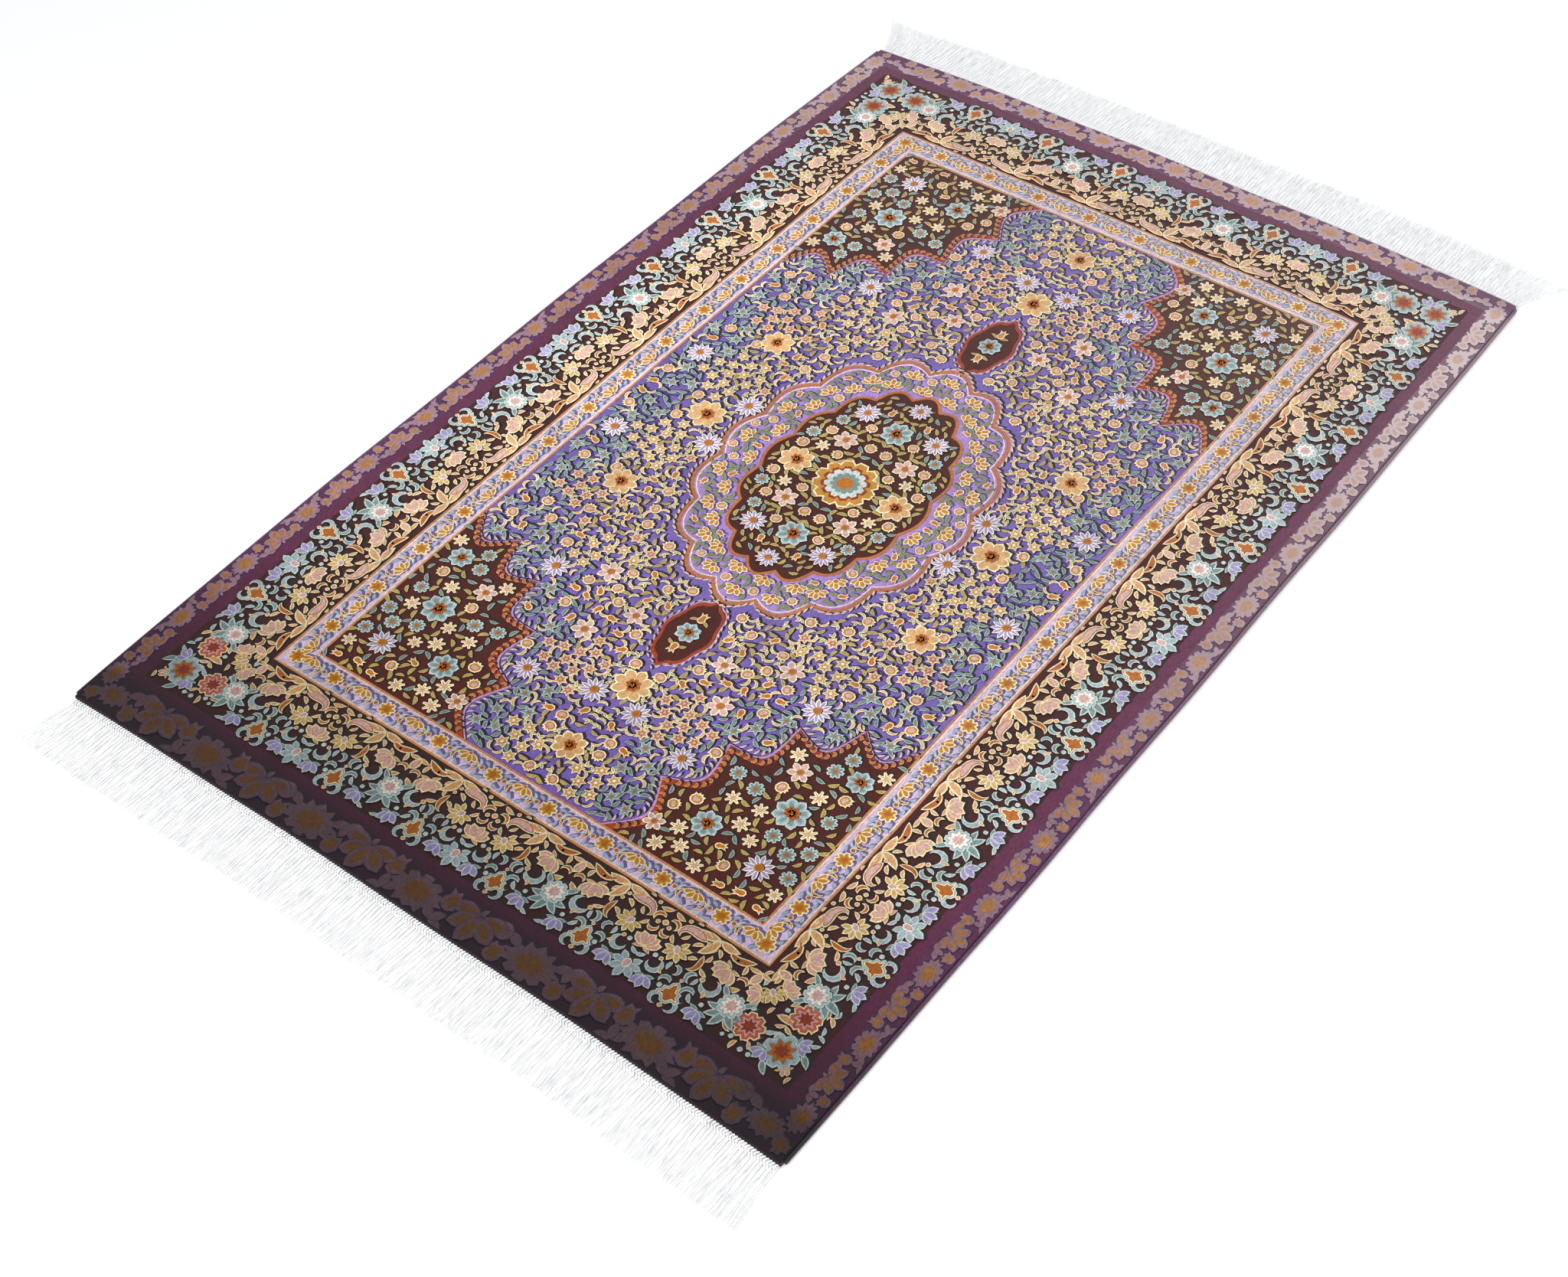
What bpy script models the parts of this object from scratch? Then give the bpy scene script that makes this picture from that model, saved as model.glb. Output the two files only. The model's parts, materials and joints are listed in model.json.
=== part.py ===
"""A small silk pile rug in the Persian manner, lying flat, with overcast sides and fringed ends.

Metres, +Z up. The long sides run along Y and the underside lies at Z = 0. The origin is under the
middle of the whole outline, fringes included.
"""

import math
import random
from collections import namedtuple

import bmesh
import bpy

# Driving dimensions
PILE_WIDTH = 0.5946  # between the side cords, at the corners
PILE_LENGTH = 0.913  # at the corners
PILE_THICKNESS = 0.0042
CORNER_ROUND = 0.004  # radius of the outline at the four corners
RIM_ROUND = 0.0009  # rounding of the upper and lower rims
GAP = 0.0003  # between pieces that touch on the real rug

CORD_RADIUS = 0.0012  # overcast side cord
CORD_INSET = 0.003  # from the corner to the cord's end

FRINGE_LENGTH = 0.045  # header and strand together
HEADER_DEPTH = 0.005
HEADER_THICKNESS = 0.0014
STRANDS = 120  # at each end
STRAND_SHARE = 0.6  # of the pitch; the rest is the gap to the next strand
STRAND_STEPS = 4
TIP_NARROWING = 0.45  # share of the root's width and height that is gone at the tip
LENGTH_SPREAD = 0.05  # strands are this share longer or shorter
LEAN_SPREAD = 0.0007  # sideways lean of single strands at the tip
SPLAY_REACH = 0.035  # how far in from a corner the splay fades
WAVE_SWAY = 0.0035  # slow sideways sway of the strands at the tip

SIDE_POINTS = 40  # outline points along a long side
END_POINTS = 28  # outline points along a short end

HALF_WIDTH = PILE_WIDTH / 2
HALF_LENGTH = PILE_LENGTH / 2

# How an edge leaves the straight line between its corners, outwards positive.
Edge = namedtuple("Edge", "bow ripple waves phase")
LEFT = Edge(bow=0.0068, ripple=0.0005, waves=3.5, phase=0.4)
RIGHT = Edge(bow=0.0022, ripple=0.0004, waves=4.5, phase=1.9)
NEAR = Edge(bow=-0.0034, ripple=0.0004, waves=3.0, phase=0.9)
FAR = Edge(bow=0.0075, ripple=0.0005, waves=3.5, phase=2.6)

# A fringe: the end it hangs from, and how far its tips splay out past each corner.
Fringe = namedtuple("Fringe", "name edge direction splay_left splay_right seed")
FRINGES = (
    Fringe("fringe_near", NEAR, direction=-1, splay_left=0.012, splay_right=0.005, seed=11),
    Fringe("fringe_far", FAR, direction=1, splay_left=0.023, splay_right=0.030, seed=23),
)

Finish = namedtuple("Finish", "colour roughness metallic")
PILE_SILK = Finish((0.13, 0.06, 0.11, 1.0), 0.55, 0.0)
CORD_SILK = Finish((0.14, 0.09, 0.16, 1.0), 0.6, 0.0)
FRINGE_SILK = Finish((0.78, 0.75, 0.68, 1.0), 0.5, 0.0)


def clear_scene():
    for obj in list(bpy.data.objects):
        bpy.data.objects.remove(obj, do_unlink=True)


def material(name, finish):
    made = bpy.data.materials.new(name)
    made.use_nodes = True
    shader = made.node_tree.nodes["Principled BSDF"]
    shader.inputs["Base Color"].default_value = finish.colour
    shader.inputs["Roughness"].default_value = finish.roughness
    shader.inputs["Metallic"].default_value = finish.metallic
    return made


def bulge(edge, along):
    """Outward offset of an edge, with along running from -1 at one corner to 1 at the other."""
    held = 1 - abs(along) ** 3
    ripple = edge.ripple * math.sin(math.pi * edge.waves * along + edge.phase)
    return held * (edge.bow + ripple)


def side_x(side, y):
    """X of a long side of the pile at y: side is -1 on the left and 1 on the right."""
    edge = LEFT if side < 0 else RIGHT
    return side * (HALF_WIDTH + bulge(edge, y / HALF_LENGTH))


def end_y(edge, direction, x):
    """Y of a short end of the pile at x."""
    return direction * (HALF_LENGTH + bulge(edge, x / HALF_WIDTH))


def spread(count):
    """Places from -1 to just under 1, evenly spaced."""
    return [2 * i / count - 1 for i in range(count)]


def pile_outline():
    """The pile's outline, counter-clockwise from the near left corner."""
    points = [(HALF_WIDTH * t, end_y(NEAR, -1, HALF_WIDTH * t)) for t in spread(END_POINTS)]
    points += [(side_x(1, HALF_LENGTH * t), HALF_LENGTH * t) for t in spread(SIDE_POINTS)]
    points += [(-HALF_WIDTH * t, end_y(FAR, 1, -HALF_WIDTH * t)) for t in spread(END_POINTS)]
    points += [(side_x(-1, -HALF_LENGTH * t), -HALF_LENGTH * t) for t in spread(SIDE_POINTS)]
    return points


def mesh_of_curve(curve_object):
    """The curve's mesh, with its loose caps welded on. The curve is removed."""
    bpy.context.view_layer.update()
    evaluated = curve_object.evaluated_get(bpy.context.evaluated_depsgraph_get())
    mesh = bpy.data.meshes.new_from_object(evaluated)
    bpy.data.objects.remove(curve_object, do_unlink=True)
    return mesh


def make_pile(collection):
    """The pile and its foundation: the outline as a slab, with soft corners and rims."""
    curve = bpy.data.curves.new("pile_outline", "CURVE")
    curve.dimensions = "2D"
    curve.fill_mode = "BOTH"
    curve.extrude = PILE_THICKNESS / 2
    outline = pile_outline()
    spline = curve.splines.new("POLY")
    spline.points.add(len(outline) - 1)
    for point, (x, y) in zip(spline.points, outline):
        point.co = (x, y, 0, 1)
    spline.use_cyclic_u = True
    guide = bpy.data.objects.new("pile_outline", curve)
    collection.objects.link(guide)
    mesh = mesh_of_curve(guide)

    shape = bmesh.new()
    shape.from_mesh(mesh)
    bmesh.ops.remove_doubles(shape, verts=shape.verts, dist=0.00005)
    bmesh.ops.translate(shape, verts=shape.verts, vec=(0, 0, PILE_THICKNESS / 2))
    corners = [
        edge
        for edge in shape.edges
        if all(abs(abs(v.co.x) - HALF_WIDTH) < GAP for v in edge.verts)
        and all(abs(abs(v.co.y) - HALF_LENGTH) < GAP for v in edge.verts)
    ]
    bmesh.ops.bevel(shape, geom=corners, offset=CORNER_ROUND, segments=4, affect="EDGES", profile=0.5)
    bmesh.ops.recalc_face_normals(shape, faces=shape.faces)
    shape.to_mesh(mesh)
    shape.free()

    pile = bpy.data.objects.new("pile_body", mesh)
    collection.objects.link(pile)
    rim = pile.modifiers.new("soft_rim", "BEVEL")
    rim.width = RIM_ROUND
    rim.segments = 2
    rim.limit_method = "ANGLE"
    rim.angle_limit = math.radians(60)
    mesh.materials.append(material("pile_silk", PILE_SILK))
    return pile


def make_side_cord(collection, name, side):
    """The overcast cord along a long side, resting on the floor beside the pile."""
    out = GAP + CORD_RADIUS
    reach = HALF_LENGTH - CORD_INSET
    curve = bpy.data.curves.new(name, "CURVE")
    curve.dimensions = "3D"
    curve.bevel_depth = CORD_RADIUS
    curve.bevel_resolution = 2
    curve.use_fill_caps = True
    spline = curve.splines.new("POLY")
    spline.points.add(SIDE_POINTS)
    for i, point in enumerate(spline.points):
        y = reach * (2 * i / SIDE_POINTS - 1)
        point.co = (side_x(side, y) + side * out, y, CORD_RADIUS, 1)
    curve.materials.append(material(name + "_silk", CORD_SILK))
    cord = bpy.data.objects.new(name, curve)
    collection.objects.link(cord)
    return cord


def splay(fringe, x, along):
    """Sideways drift of the strand rooted at x, with along from 0 at its root to 1 at its tip."""
    left = fringe.splay_left * math.exp(-(x + HALF_WIDTH) / SPLAY_REACH)
    right = fringe.splay_right * math.exp((x - HALF_WIDTH) / SPLAY_REACH)
    sway = WAVE_SWAY * math.sin(x * 19 + fringe.seed) * math.cos(x * 7)
    return (right - left) * along**1.5 + sway * along * along


def make_fringe(collection, fringe):
    """A header strip along the pile's end, with the free strands drawn out of its front face."""
    rng = random.Random(fringe.seed)
    pitch = (PILE_WIDTH - 2 * CORNER_ROUND) / (STRANDS + 1 - STRAND_SHARE)
    gap_width = pitch * (1 - STRAND_SHARE)
    first = -HALF_WIDTH + CORNER_ROUND

    shape = bmesh.new()
    bmesh.ops.create_grid(shape, x_segments=2 * STRANDS + 1, y_segments=1, size=0.5)
    for vert in shape.verts:
        cell = round((vert.co.x + 0.5) * (2 * STRANDS + 1))
        vert.co.x = first + (cell // 2) * pitch + (cell % 2) * gap_width
        vert.co.y = GAP if vert.co.y * fringe.direction < 0 else HEADER_DEPTH
        vert.co.z = 0
    raised = bmesh.ops.extrude_face_region(shape, geom=shape.faces[:], use_keep_orig=True)
    top = [item for item in raised["geom"] if isinstance(item, bmesh.types.BMVert)]
    bmesh.ops.translate(shape, verts=top, vec=(0, 0, HEADER_THICKNESS))

    fronts = [f for f in shape.faces if all(v.co.y > HEADER_DEPTH - GAP for v in f.verts)]
    fronts.sort(key=lambda f: f.calc_center_median().x)
    roots = fronts[1::2]
    strand_length = FRINGE_LENGTH - HEADER_DEPTH
    for root in roots:
        centre = root.calc_center_median().x
        length = strand_length * (1 + rng.uniform(-LENGTH_SPREAD, LENGTH_SPREAD))
        lean = rng.uniform(-LEAN_SPREAD, LEAN_SPREAD)
        start = [v.co.copy() for v in root.verts]
        face = root
        for step in range(1, STRAND_STEPS + 1):
            along = step / STRAND_STEPS
            face = bmesh.ops.extrude_discrete_faces(shape, faces=[face])["faces"][0]
            size = 1 - TIP_NARROWING * along
            drift = splay(fringe, centre, along) + lean * along
            for vert, base in zip(face.verts, start):
                vert.co.x = centre + (base.x - centre) * size + drift
                vert.co.y = base.y + length * along
                vert.co.z = base.z * size
    for vert in shape.verts:
        on_edge = max(-HALF_WIDTH, min(HALF_WIDTH, vert.co.x))
        vert.co.y = fringe.direction * vert.co.y + end_y(fringe.edge, fringe.direction, on_edge)
    bmesh.ops.recalc_face_normals(shape, faces=shape.faces)

    mesh = bpy.data.meshes.new(fringe.name)
    shape.to_mesh(mesh)
    shape.free()
    mesh.materials.append(material(fringe.name + "_silk", FRINGE_SILK))
    made = bpy.data.objects.new(fringe.name, mesh)
    collection.objects.link(made)
    return made


def points_of(part, graph):
    """The points of a piece's finished surface."""
    evaluated = part.evaluated_get(graph)
    points = [vert.co.copy() for vert in evaluated.to_mesh().vertices]
    evaluated.to_mesh_clear()
    return points


def centre_on_origin(parts, collection):
    """Parents every piece to one empty, and moves it so that the whole outline is centred."""
    bpy.context.view_layer.update()
    graph = bpy.context.evaluated_depsgraph_get()
    points = [point for part in parts for point in points_of(part, graph)]
    middle = [(min(p[axis] for p in points) + max(p[axis] for p in points)) / 2 for axis in (0, 1)]
    centre = bpy.data.objects.new("rug_centre", None)
    collection.objects.link(centre)
    for part in parts:
        part.parent = centre
    centre.location = (-middle[0], -middle[1], 0)


def main():
    clear_scene()
    collection = bpy.data.collections.new("persian_rug")
    bpy.context.scene.collection.children.link(collection)
    parts = [
        make_pile(collection),
        make_side_cord(collection, "selvedge_left", -1),
        make_side_cord(collection, "selvedge_right", 1),
    ]
    parts += [make_fringe(collection, fringe) for fringe in FRINGES]
    centre_on_origin(parts, collection)


main()
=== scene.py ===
import json
import math
import random

import bpy
import numpy as np
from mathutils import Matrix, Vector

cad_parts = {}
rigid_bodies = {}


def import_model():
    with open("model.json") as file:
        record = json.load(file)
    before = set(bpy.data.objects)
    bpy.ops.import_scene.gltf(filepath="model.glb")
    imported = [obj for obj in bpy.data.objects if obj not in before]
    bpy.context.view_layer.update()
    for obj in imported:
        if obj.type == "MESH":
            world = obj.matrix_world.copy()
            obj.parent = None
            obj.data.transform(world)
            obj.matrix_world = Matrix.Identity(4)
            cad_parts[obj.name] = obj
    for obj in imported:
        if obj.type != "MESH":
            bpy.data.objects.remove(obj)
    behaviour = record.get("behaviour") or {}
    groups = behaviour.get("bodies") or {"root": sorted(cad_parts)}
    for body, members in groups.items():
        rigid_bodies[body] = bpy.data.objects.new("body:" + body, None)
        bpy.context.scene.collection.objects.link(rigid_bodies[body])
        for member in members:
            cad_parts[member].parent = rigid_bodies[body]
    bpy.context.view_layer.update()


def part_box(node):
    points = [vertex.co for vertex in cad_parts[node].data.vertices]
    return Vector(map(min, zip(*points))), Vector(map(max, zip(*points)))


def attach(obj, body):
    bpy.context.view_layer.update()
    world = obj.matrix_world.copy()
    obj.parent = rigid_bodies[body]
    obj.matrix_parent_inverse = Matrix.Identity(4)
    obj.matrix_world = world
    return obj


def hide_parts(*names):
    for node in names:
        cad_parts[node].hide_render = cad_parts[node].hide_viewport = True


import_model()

# ----------------------------------------------------------
# The studio: a plain white floor in soft, even daylight, with a long lamp low on the near side
# that throws the shadow of the raised pile towards the far end. The rug is drawn first as a true
# rectangle about its own middle, in millimetres, and then settled into its slightly uneven outline.
MM = 0.001
HALF_WIDTH = 297.3
HALF_LENGTH = 456.5
PILE_TOP = 4.2
FLOOR_Z = -0.0004
CAMERA_PLACE = (759.0, -985.7, 1200.5)
CAMERA_TURN = (42.490, 1.957, 37.581)
# How far each edge bows out in its middle, then its ripple's height, half waves and phase.
SWELL = {
    "left": (6.8, 0.5, 3.5, 0.4),
    "right": (2.2, 0.4, 4.5, 1.9),
    "near": (-3.4, 0.4, 3.0, 0.9),
    "far": (7.5, 0.5, 3.5, 2.6),
}


def swell(side, t):
    """How far an edge bows out, along its length from -1 to 1."""
    bow, ripple, waves, phase = SWELL[side]
    return (1 - np.abs(t) ** 3) * (bow + ripple * np.sin(math.pi * waves * t + phase))


most = {side: float(np.max(swell(side, np.linspace(-1, 1, 401)))) for side in SWELL}
box_low, box_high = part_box("pile_body")
MIDDLE_X = (box_low[0] + box_high[0]) / 2 / MM + (most["left"] - most["right"]) / 2
MIDDLE_Y = (box_low[1] + box_high[1]) / 2 / MM + (max(0, most["near"]) - most["far"]) / 2

camera_data = bpy.data.cameras.new("camera")
camera_data.lens = 55.634
camera_data.sensor_width = 36
camera = bpy.data.objects.new("camera", camera_data)
camera.location = [(a + b) * MM for a, b in zip(CAMERA_PLACE, (MIDDLE_X, MIDDLE_Y, PILE_TOP))]
camera.rotation_euler = [math.radians(angle) for angle in CAMERA_TURN]
bpy.context.scene.collection.objects.link(camera)
bpy.context.scene.camera = camera


def feed(tree, node, sources):
    """Feeds a node's inputs, in order or by name, each with a value or from another node's output."""
    for key, source in sources.items() if isinstance(sources, dict) else enumerate(sources):
        if isinstance(source, bpy.types.NodeSocket):
            tree.links.new(source, node.inputs[key])
        else:
            node.inputs[key].default_value = source


def linked(tree, node_type, sources=(), output=0, **settings):
    """An output of a new node with these sources and settings."""
    node = tree.nodes.new(node_type)
    for name, value in settings.items():
        setattr(node, name, value)
    feed(tree, node, sources)
    return node.outputs[output]


def surface(material, values):
    """Feeds the shader of a material."""
    feed(material.node_tree, material.node_tree.nodes["Principled BSDF"], values)


def new_material(name, values):
    made = bpy.data.materials.new(name)
    made.use_nodes = True
    surface(made, values)
    return made


bpy.ops.object.select_all(action="DESELECT")
bpy.ops.mesh.primitive_plane_add(size=14, location=(0, 0, FLOOR_Z))
floor = bpy.context.object
floor.name = "studio_floor"
PAPER = {"Base Color": (0.93, 0.935, 0.94, 1), "Roughness": 0.9, "Specular IOR Level": 0.1}
floor.data.materials.append(new_material("white_paper", PAPER))

world = bpy.data.worlds.new("daylight")
world.use_nodes = True
sky = world.node_tree.nodes["Background"]
feed(world.node_tree, sky, {"Color": (0.97, 0.98, 1.0, 1), "Strength": 0.72})
bpy.context.scene.world = world
bpy.context.scene.view_settings.view_transform = "Standard"

for name, place, aim, size, watts, tint in (
    ("near_lamp", (0.35, -2.1, 1.75), (0, 0, 0), (1.4, 0.8), 42, (1.0, 0.98, 0.95)),
    ("far_lamp", (0.6, 2.4, 1.5), (0, 0.2, 0), (2.6, 1.2), 30, (0.95, 0.97, 1.0)),
):
    lamp = bpy.data.lights.new(name, "AREA")
    lamp.shape = "RECTANGLE"
    lamp.size, lamp.size_y = size
    lamp.energy = watts
    lamp.color = tint
    held = bpy.data.objects.new(name, lamp)
    bpy.context.scene.collection.objects.link(held)
    way = np.array(aim, float) - np.array(place, float)
    tilt = math.acos(-way[2] / np.linalg.norm(way))
    held.location = place
    held.rotation_euler = (tilt, 0, math.atan2(way[1], way[0]) - math.pi / 2)

# ----------------------------------------------------------
# The pile: a dense field of knotted silk, clipped level, on a fine woven foundation. It is one
# sheet, knotted in bands of plain colour that the figures later stand on: an outer band, a plain
# stripe, the main border, the inner guard and the field.
SIDE_BAND = 17.3
NEAR_BAND = 30.0
FAR_BAND = 20.0
STRIPE = 9.0
BORDER = 61.5
GUARD = 22.0
RIM = 0.7
GRID_STEP = 9
PILE_COAT = {"Roughness": 0.55, "Specular IOR Level": 0.25, "Sheen Weight": 0.1, "Sheen Roughness": 0.4}
KNOT = (0.0009, 0.0007, 0.01)  # one knot, in metres
FIBRE_DEPTH = 0.0004
# Painted sheen: the left side is painted brightest round this spot.
PAINTED_SHEEN_SPOT = (-0.3, 0.1, 0.0)  # where the left side lies brightest
# The pale grey-pink that the painted sheen mixes in at the far right end.
PAINTED_SHEEN_COLOUR = (0.66, 0.55, 0.55, 1)


def dye(code):
    """The linear colour of a hex code."""
    parts = [int(code[i : i + 2], 16) / 255 for i in (1, 3, 5)]
    return [c / 12.92 if c <= 0.04045 else ((c + 0.055) / 1.055) ** 2.4 for c in parts] + [1.0]


def noise(tree, place, scale, detail, stretch=None):
    """Noise over a place, which may be stretched first into streaks along the threads."""
    if stretch:
        place = linked(tree, "ShaderNodeVectorMath", [place, stretch], operation="MULTIPLY")
    return linked(tree, "ShaderNodeTexNoise", {"Vector": place, "Scale": scale, "Detail": detail})


def make_pile_group():
    """Knotted silk: every knot takes the dye a little differently, and broad bands fade. Painted shade
    darkens the near end, towards which the pile leans, most of all its near edge, and the right side;
    painted sheen brightens the left side and greys the far right end."""
    tree = bpy.data.node_groups.new("knotted_silk", "ShaderNodeTree")
    for way, kind, names in (
        ("INPUT", "Color", ["Dye"]),
        ("INPUT", "Float", ["Nap", "Haze", "Glow"]),
        ("OUTPUT", "Color", ["Color"]),
        ("OUTPUT", "Vector", ["Normal"]),
    ):
        for name in names:
            tree.interface.new_socket(name, in_out=way, socket_type="NodeSocket" + kind)
    given = tree.nodes.new("NodeGroupInput").outputs
    place = linked(tree, "ShaderNodeTexCoord", output="Object")
    x = linked(tree, "ShaderNodeSeparateXYZ", [place])
    y = x.node.outputs["Y"]

    def sums(operation, *values):
        return linked(tree, "ShaderNodeMath", values, operation=operation)

    def product(first, *others):
        for other in others:
            first = sums("MULTIPLY", first, other)
        return first

    def ranged(value, *limits, kind="LINEAR"):
        return linked(tree, "ShaderNodeMapRange", [value, *limits], interpolation_type=kind)

    knot = linked(tree, "ShaderNodeVectorMath", [place, KNOT], operation="SNAP")
    tone = ranged(linked(tree, "ShaderNodeTexWhiteNoise", [knot]), 0.0, 1.0, 0.86, 1.12)
    drift = ranged(noise(tree, place, 46, 2), 0.3, 0.7, 0.88, 1.1)
    streak = ranged(noise(tree, place, 1, 1, (950.0, 260.0, 1.0)), 0.3, 0.7, 0.78, 1.2)
    # Painted shade: darker towards the near end.
    painted_near_shade = ranged(y, -0.47, -0.18, 0.0, 1.0, kind="SMOOTHSTEP")
    shaded = ranged(painted_near_shade, 0.0, 1.0, sums("SUBTRACT", 1.0, given["Nap"]))
    # Painted sheen: a pool of brightness painted round a spot on the left side.
    spot = linked(tree, "ShaderNodeVectorMath", [place, PAINTED_SHEEN_SPOT], "Value", operation="DISTANCE")
    lit = ranged(spot, 0.06, 0.36, 1.0, 0.0, kind="SMOOTHSTEP")
    painted_left_sheen = sums("MULTIPLY_ADD", lit, given["Glow"], 1.0)
    # Painted shade: the last strip along the near edge is darker still.
    painted_near_edge_shade = ranged(y, -0.432, -0.422, 0.5, 1.0)
    # Painted shade: the right side darker.
    painted_right_shade = sums("MULTIPLY_ADD", ranged(x, 0.2, 0.28, 0.0, -0.42), given["Haze"], 1.0)
    value = product(product(tone, drift, streak), product(shaded, painted_left_sheen, painted_near_edge_shade, painted_right_shade))
    # Painted shade: the near end, painted darker, is also painted more saturated.
    deep = ranged(painted_near_shade, 0.0, 1.0, 1.15, 1.0)
    toned = {"Color": given["Dye"], "Value": value, "Saturation": deep}
    # Painted sheen: the far right end greyed towards a pale tint, less so along its far edge.
    far_right = ranged(sums("MULTIPLY_ADD", x, 0.55, y), 0.0, 0.46, 0.0, 1.0)
    painted_right_light = product(far_right, ranged(y, 0.432, 0.444, 1.0, 0.35), given["Haze"])
    mixed = {"Factor": painted_right_light, "A": linked(tree, "ShaderNodeHueSaturation", toned), "B": PAINTED_SHEEN_COLOUR}
    pale = linked(tree, "ShaderNodeMix", mixed, "Result", data_type="RGBA")
    fibres = {"Strength": 0.35, "Distance": FIBRE_DEPTH, "Height": noise(tree, place, 1400, 2)}
    normal = linked(tree, "ShaderNodeBump", fibres)
    feed(tree, tree.nodes.new("NodeGroupOutput"), {"Color": pale, "Normal": normal})
    return tree


pile_group = make_pile_group()


def silk(name, code, painted_near_shade=0.45, painted_right_light=0.04, painted_left_sheen=0.0):
    """Pile of silk dyed one colour, given as a hex code. The other values are how much darker its near end
    is painted, in painted shade; how much painted sheen greys its far right end while painted shade
    darkens its right side; and how much brighter its left side is painted, in painted sheen."""
    made = new_material(name, PILE_COAT)
    looks = {"Dye": dye(code), "Nap": painted_near_shade, "Haze": painted_right_light, "Glow": painted_left_sheen}
    knots = linked(made.node_tree, "ShaderNodeGroup", looks, node_tree=pile_group)
    surface(made, {"Base Color": knots, "Normal": knots.node.outputs["Normal"]})
    return made


def read(items, name, width=1, kind=float):
    """One property of all vertices, faces or corners, as an array."""
    values = np.empty(len(items) * width, kind)
    items.foreach_get(name, values)
    return values.reshape(-1, width) if width > 1 else values


def settle(mesh):
    """Moves a mesh from the true rectangle to its place in the rug, whose edges bow a little."""
    points = read(mesh.vertices, "co", 3) / MM
    across, along = np.clip(points[:, :2] / (HALF_WIDTH, HALF_LENGTH), -1, 1).T
    points[:, 0] += across * np.where(across > 0, swell("right", along), swell("left", along)) + MIDDLE_X
    points[:, 1] += along * np.where(along > 0, swell("far", across), swell("near", across)) + MIDDLE_Y
    mesh.vertices.foreach_set("co", (points * MM).ravel())
    mesh.update()


def lay_map(mesh):
    """A flat map of the mesh as seen from above, in a square of its own for each dye, and one more
    for the faces that look down."""
    spots = read(mesh.vertices, "co", 3)[:, :2]
    spots = (spots - spots.min(0)) / np.ptp(spots, axis=0)
    slots = read(mesh.polygons, "material_index", kind=int)
    slots[read(mesh.polygons, "normal", 3)[:, 2] < -0.5] = len(mesh.materials)
    squares = math.ceil(math.sqrt(len(mesh.materials) + 1))
    square = np.repeat(slots, read(mesh.polygons, "loop_total", kind=int))
    corner = np.column_stack([square % squares, square // squares])
    places = (corner + 0.02 + 0.96 * spots[read(mesh.loops, "vertex_index", kind=int)]) / squares
    layer = mesh.uv_layers.new(name="OFBake")
    layer.uv.foreach_set("vector", places.ravel())


def finish_piece(piece, name):
    piece.name = piece.data.name = name
    settle(piece.data)
    lay_map(piece.data)
    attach(piece, "root")


def insets(outer):
    """How far in from the edge the steps of the rounded rim and the bands' inner limits lie."""
    inner = outer + STRIPE
    return [0, RIM / 2, RIM, outer, inner, inner + BORDER, inner + BORDER + GUARD]


def cuts(limits):
    """The limits and evenly spaced lines between them, about a step of the grid apart."""
    lines = [limits[0]]
    for low, high in zip(limits, limits[1:]):
        count = max(1, round((high - low) / GRID_STEP))
        lines += [low + (high - low) * i / count for i in range(1, count + 1)]
    return lines


side_lines = [-HALF_WIDTH + inset for inset in insets(SIDE_BAND)]
end_lines = [-HALF_LENGTH + inset for inset in insets(NEAR_BAND)]
end_lines += [HALF_LENGTH - inset for inset in reversed(insets(FAR_BAND))]
x_lines = cuts(side_lines + [-x for x in reversed(side_lines)])
y_lines = cuts(end_lines)
# Half width, near edge and far edge of each plain band's outer limit.
LIMITS = {
    name: (-side_lines[k], end_lines[k], end_lines[-k - 1])
    for k, name in enumerate(("stripe", "border", "guard", "field"), start=3)
}

columns, rows = len(x_lines) - 1, len(y_lines) - 1
bpy.ops.object.select_all(action="DESELECT")
bpy.ops.mesh.primitive_grid_add(x_subdivisions=columns, y_subdivisions=rows, size=2)
pile = bpy.context.object
for vert in pile.data.vertices:
    x = x_lines[round((vert.co.x + 1) / 2 * columns)]
    y = y_lines[round((vert.co.y + 1) / 2 * rows)]
    from_edge = min(HALF_WIDTH - abs(x), HALF_LENGTH - abs(y), RIM)
    drop = RIM - math.sqrt(max(0, RIM**2 - (RIM - from_edge) ** 2))
    vert.co = (x * MM, y * MM, (PILE_TOP - drop) * MM)
# Each band's silk has its own share of painted shade and painted sheen.
for material in (
    silk("plum_silk", "#5c3050", painted_near_shade=0.87, painted_right_light=0.16),
    silk("stripe_silk", "#602b47", painted_near_shade=0.84),
    silk("maroon_silk", "#421b1b", painted_near_shade=0.78, painted_right_light=0.0, painted_left_sheen=0.3),
    silk("pale_lavender_silk", "#c9b3cf", painted_near_shade=0.4, painted_right_light=0.3, painted_left_sheen=0.16),
    silk("violet_silk", "#725ea5", painted_near_shade=0.38),
):
    pile.data.materials.append(material)
for face in pile.data.polygons:
    x, y = abs(face.center.x) / MM, face.center.y / MM
    face.material_index = sum(x < half and near < y < far for half, near, far in LIMITS.values())
bpy.ops.object.mode_set(mode="EDIT")
bpy.ops.mesh.select_all(action="DESELECT")
bpy.ops.mesh.select_mode(type="EDGE")
bpy.ops.mesh.select_non_manifold()
bpy.ops.mesh.extrude_region_move()
bpy.ops.transform.resize(value=(1, 1, 0), center_override=(0, 0, 0))
bpy.ops.mesh.edge_face_add()
bpy.ops.mesh.select_all(action="SELECT")
bpy.ops.mesh.normals_make_consistent(inside=False)
bpy.ops.object.mode_set(mode="OBJECT")
finish_piece(pile, "knotted_pile")
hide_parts("pile_body")

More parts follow.
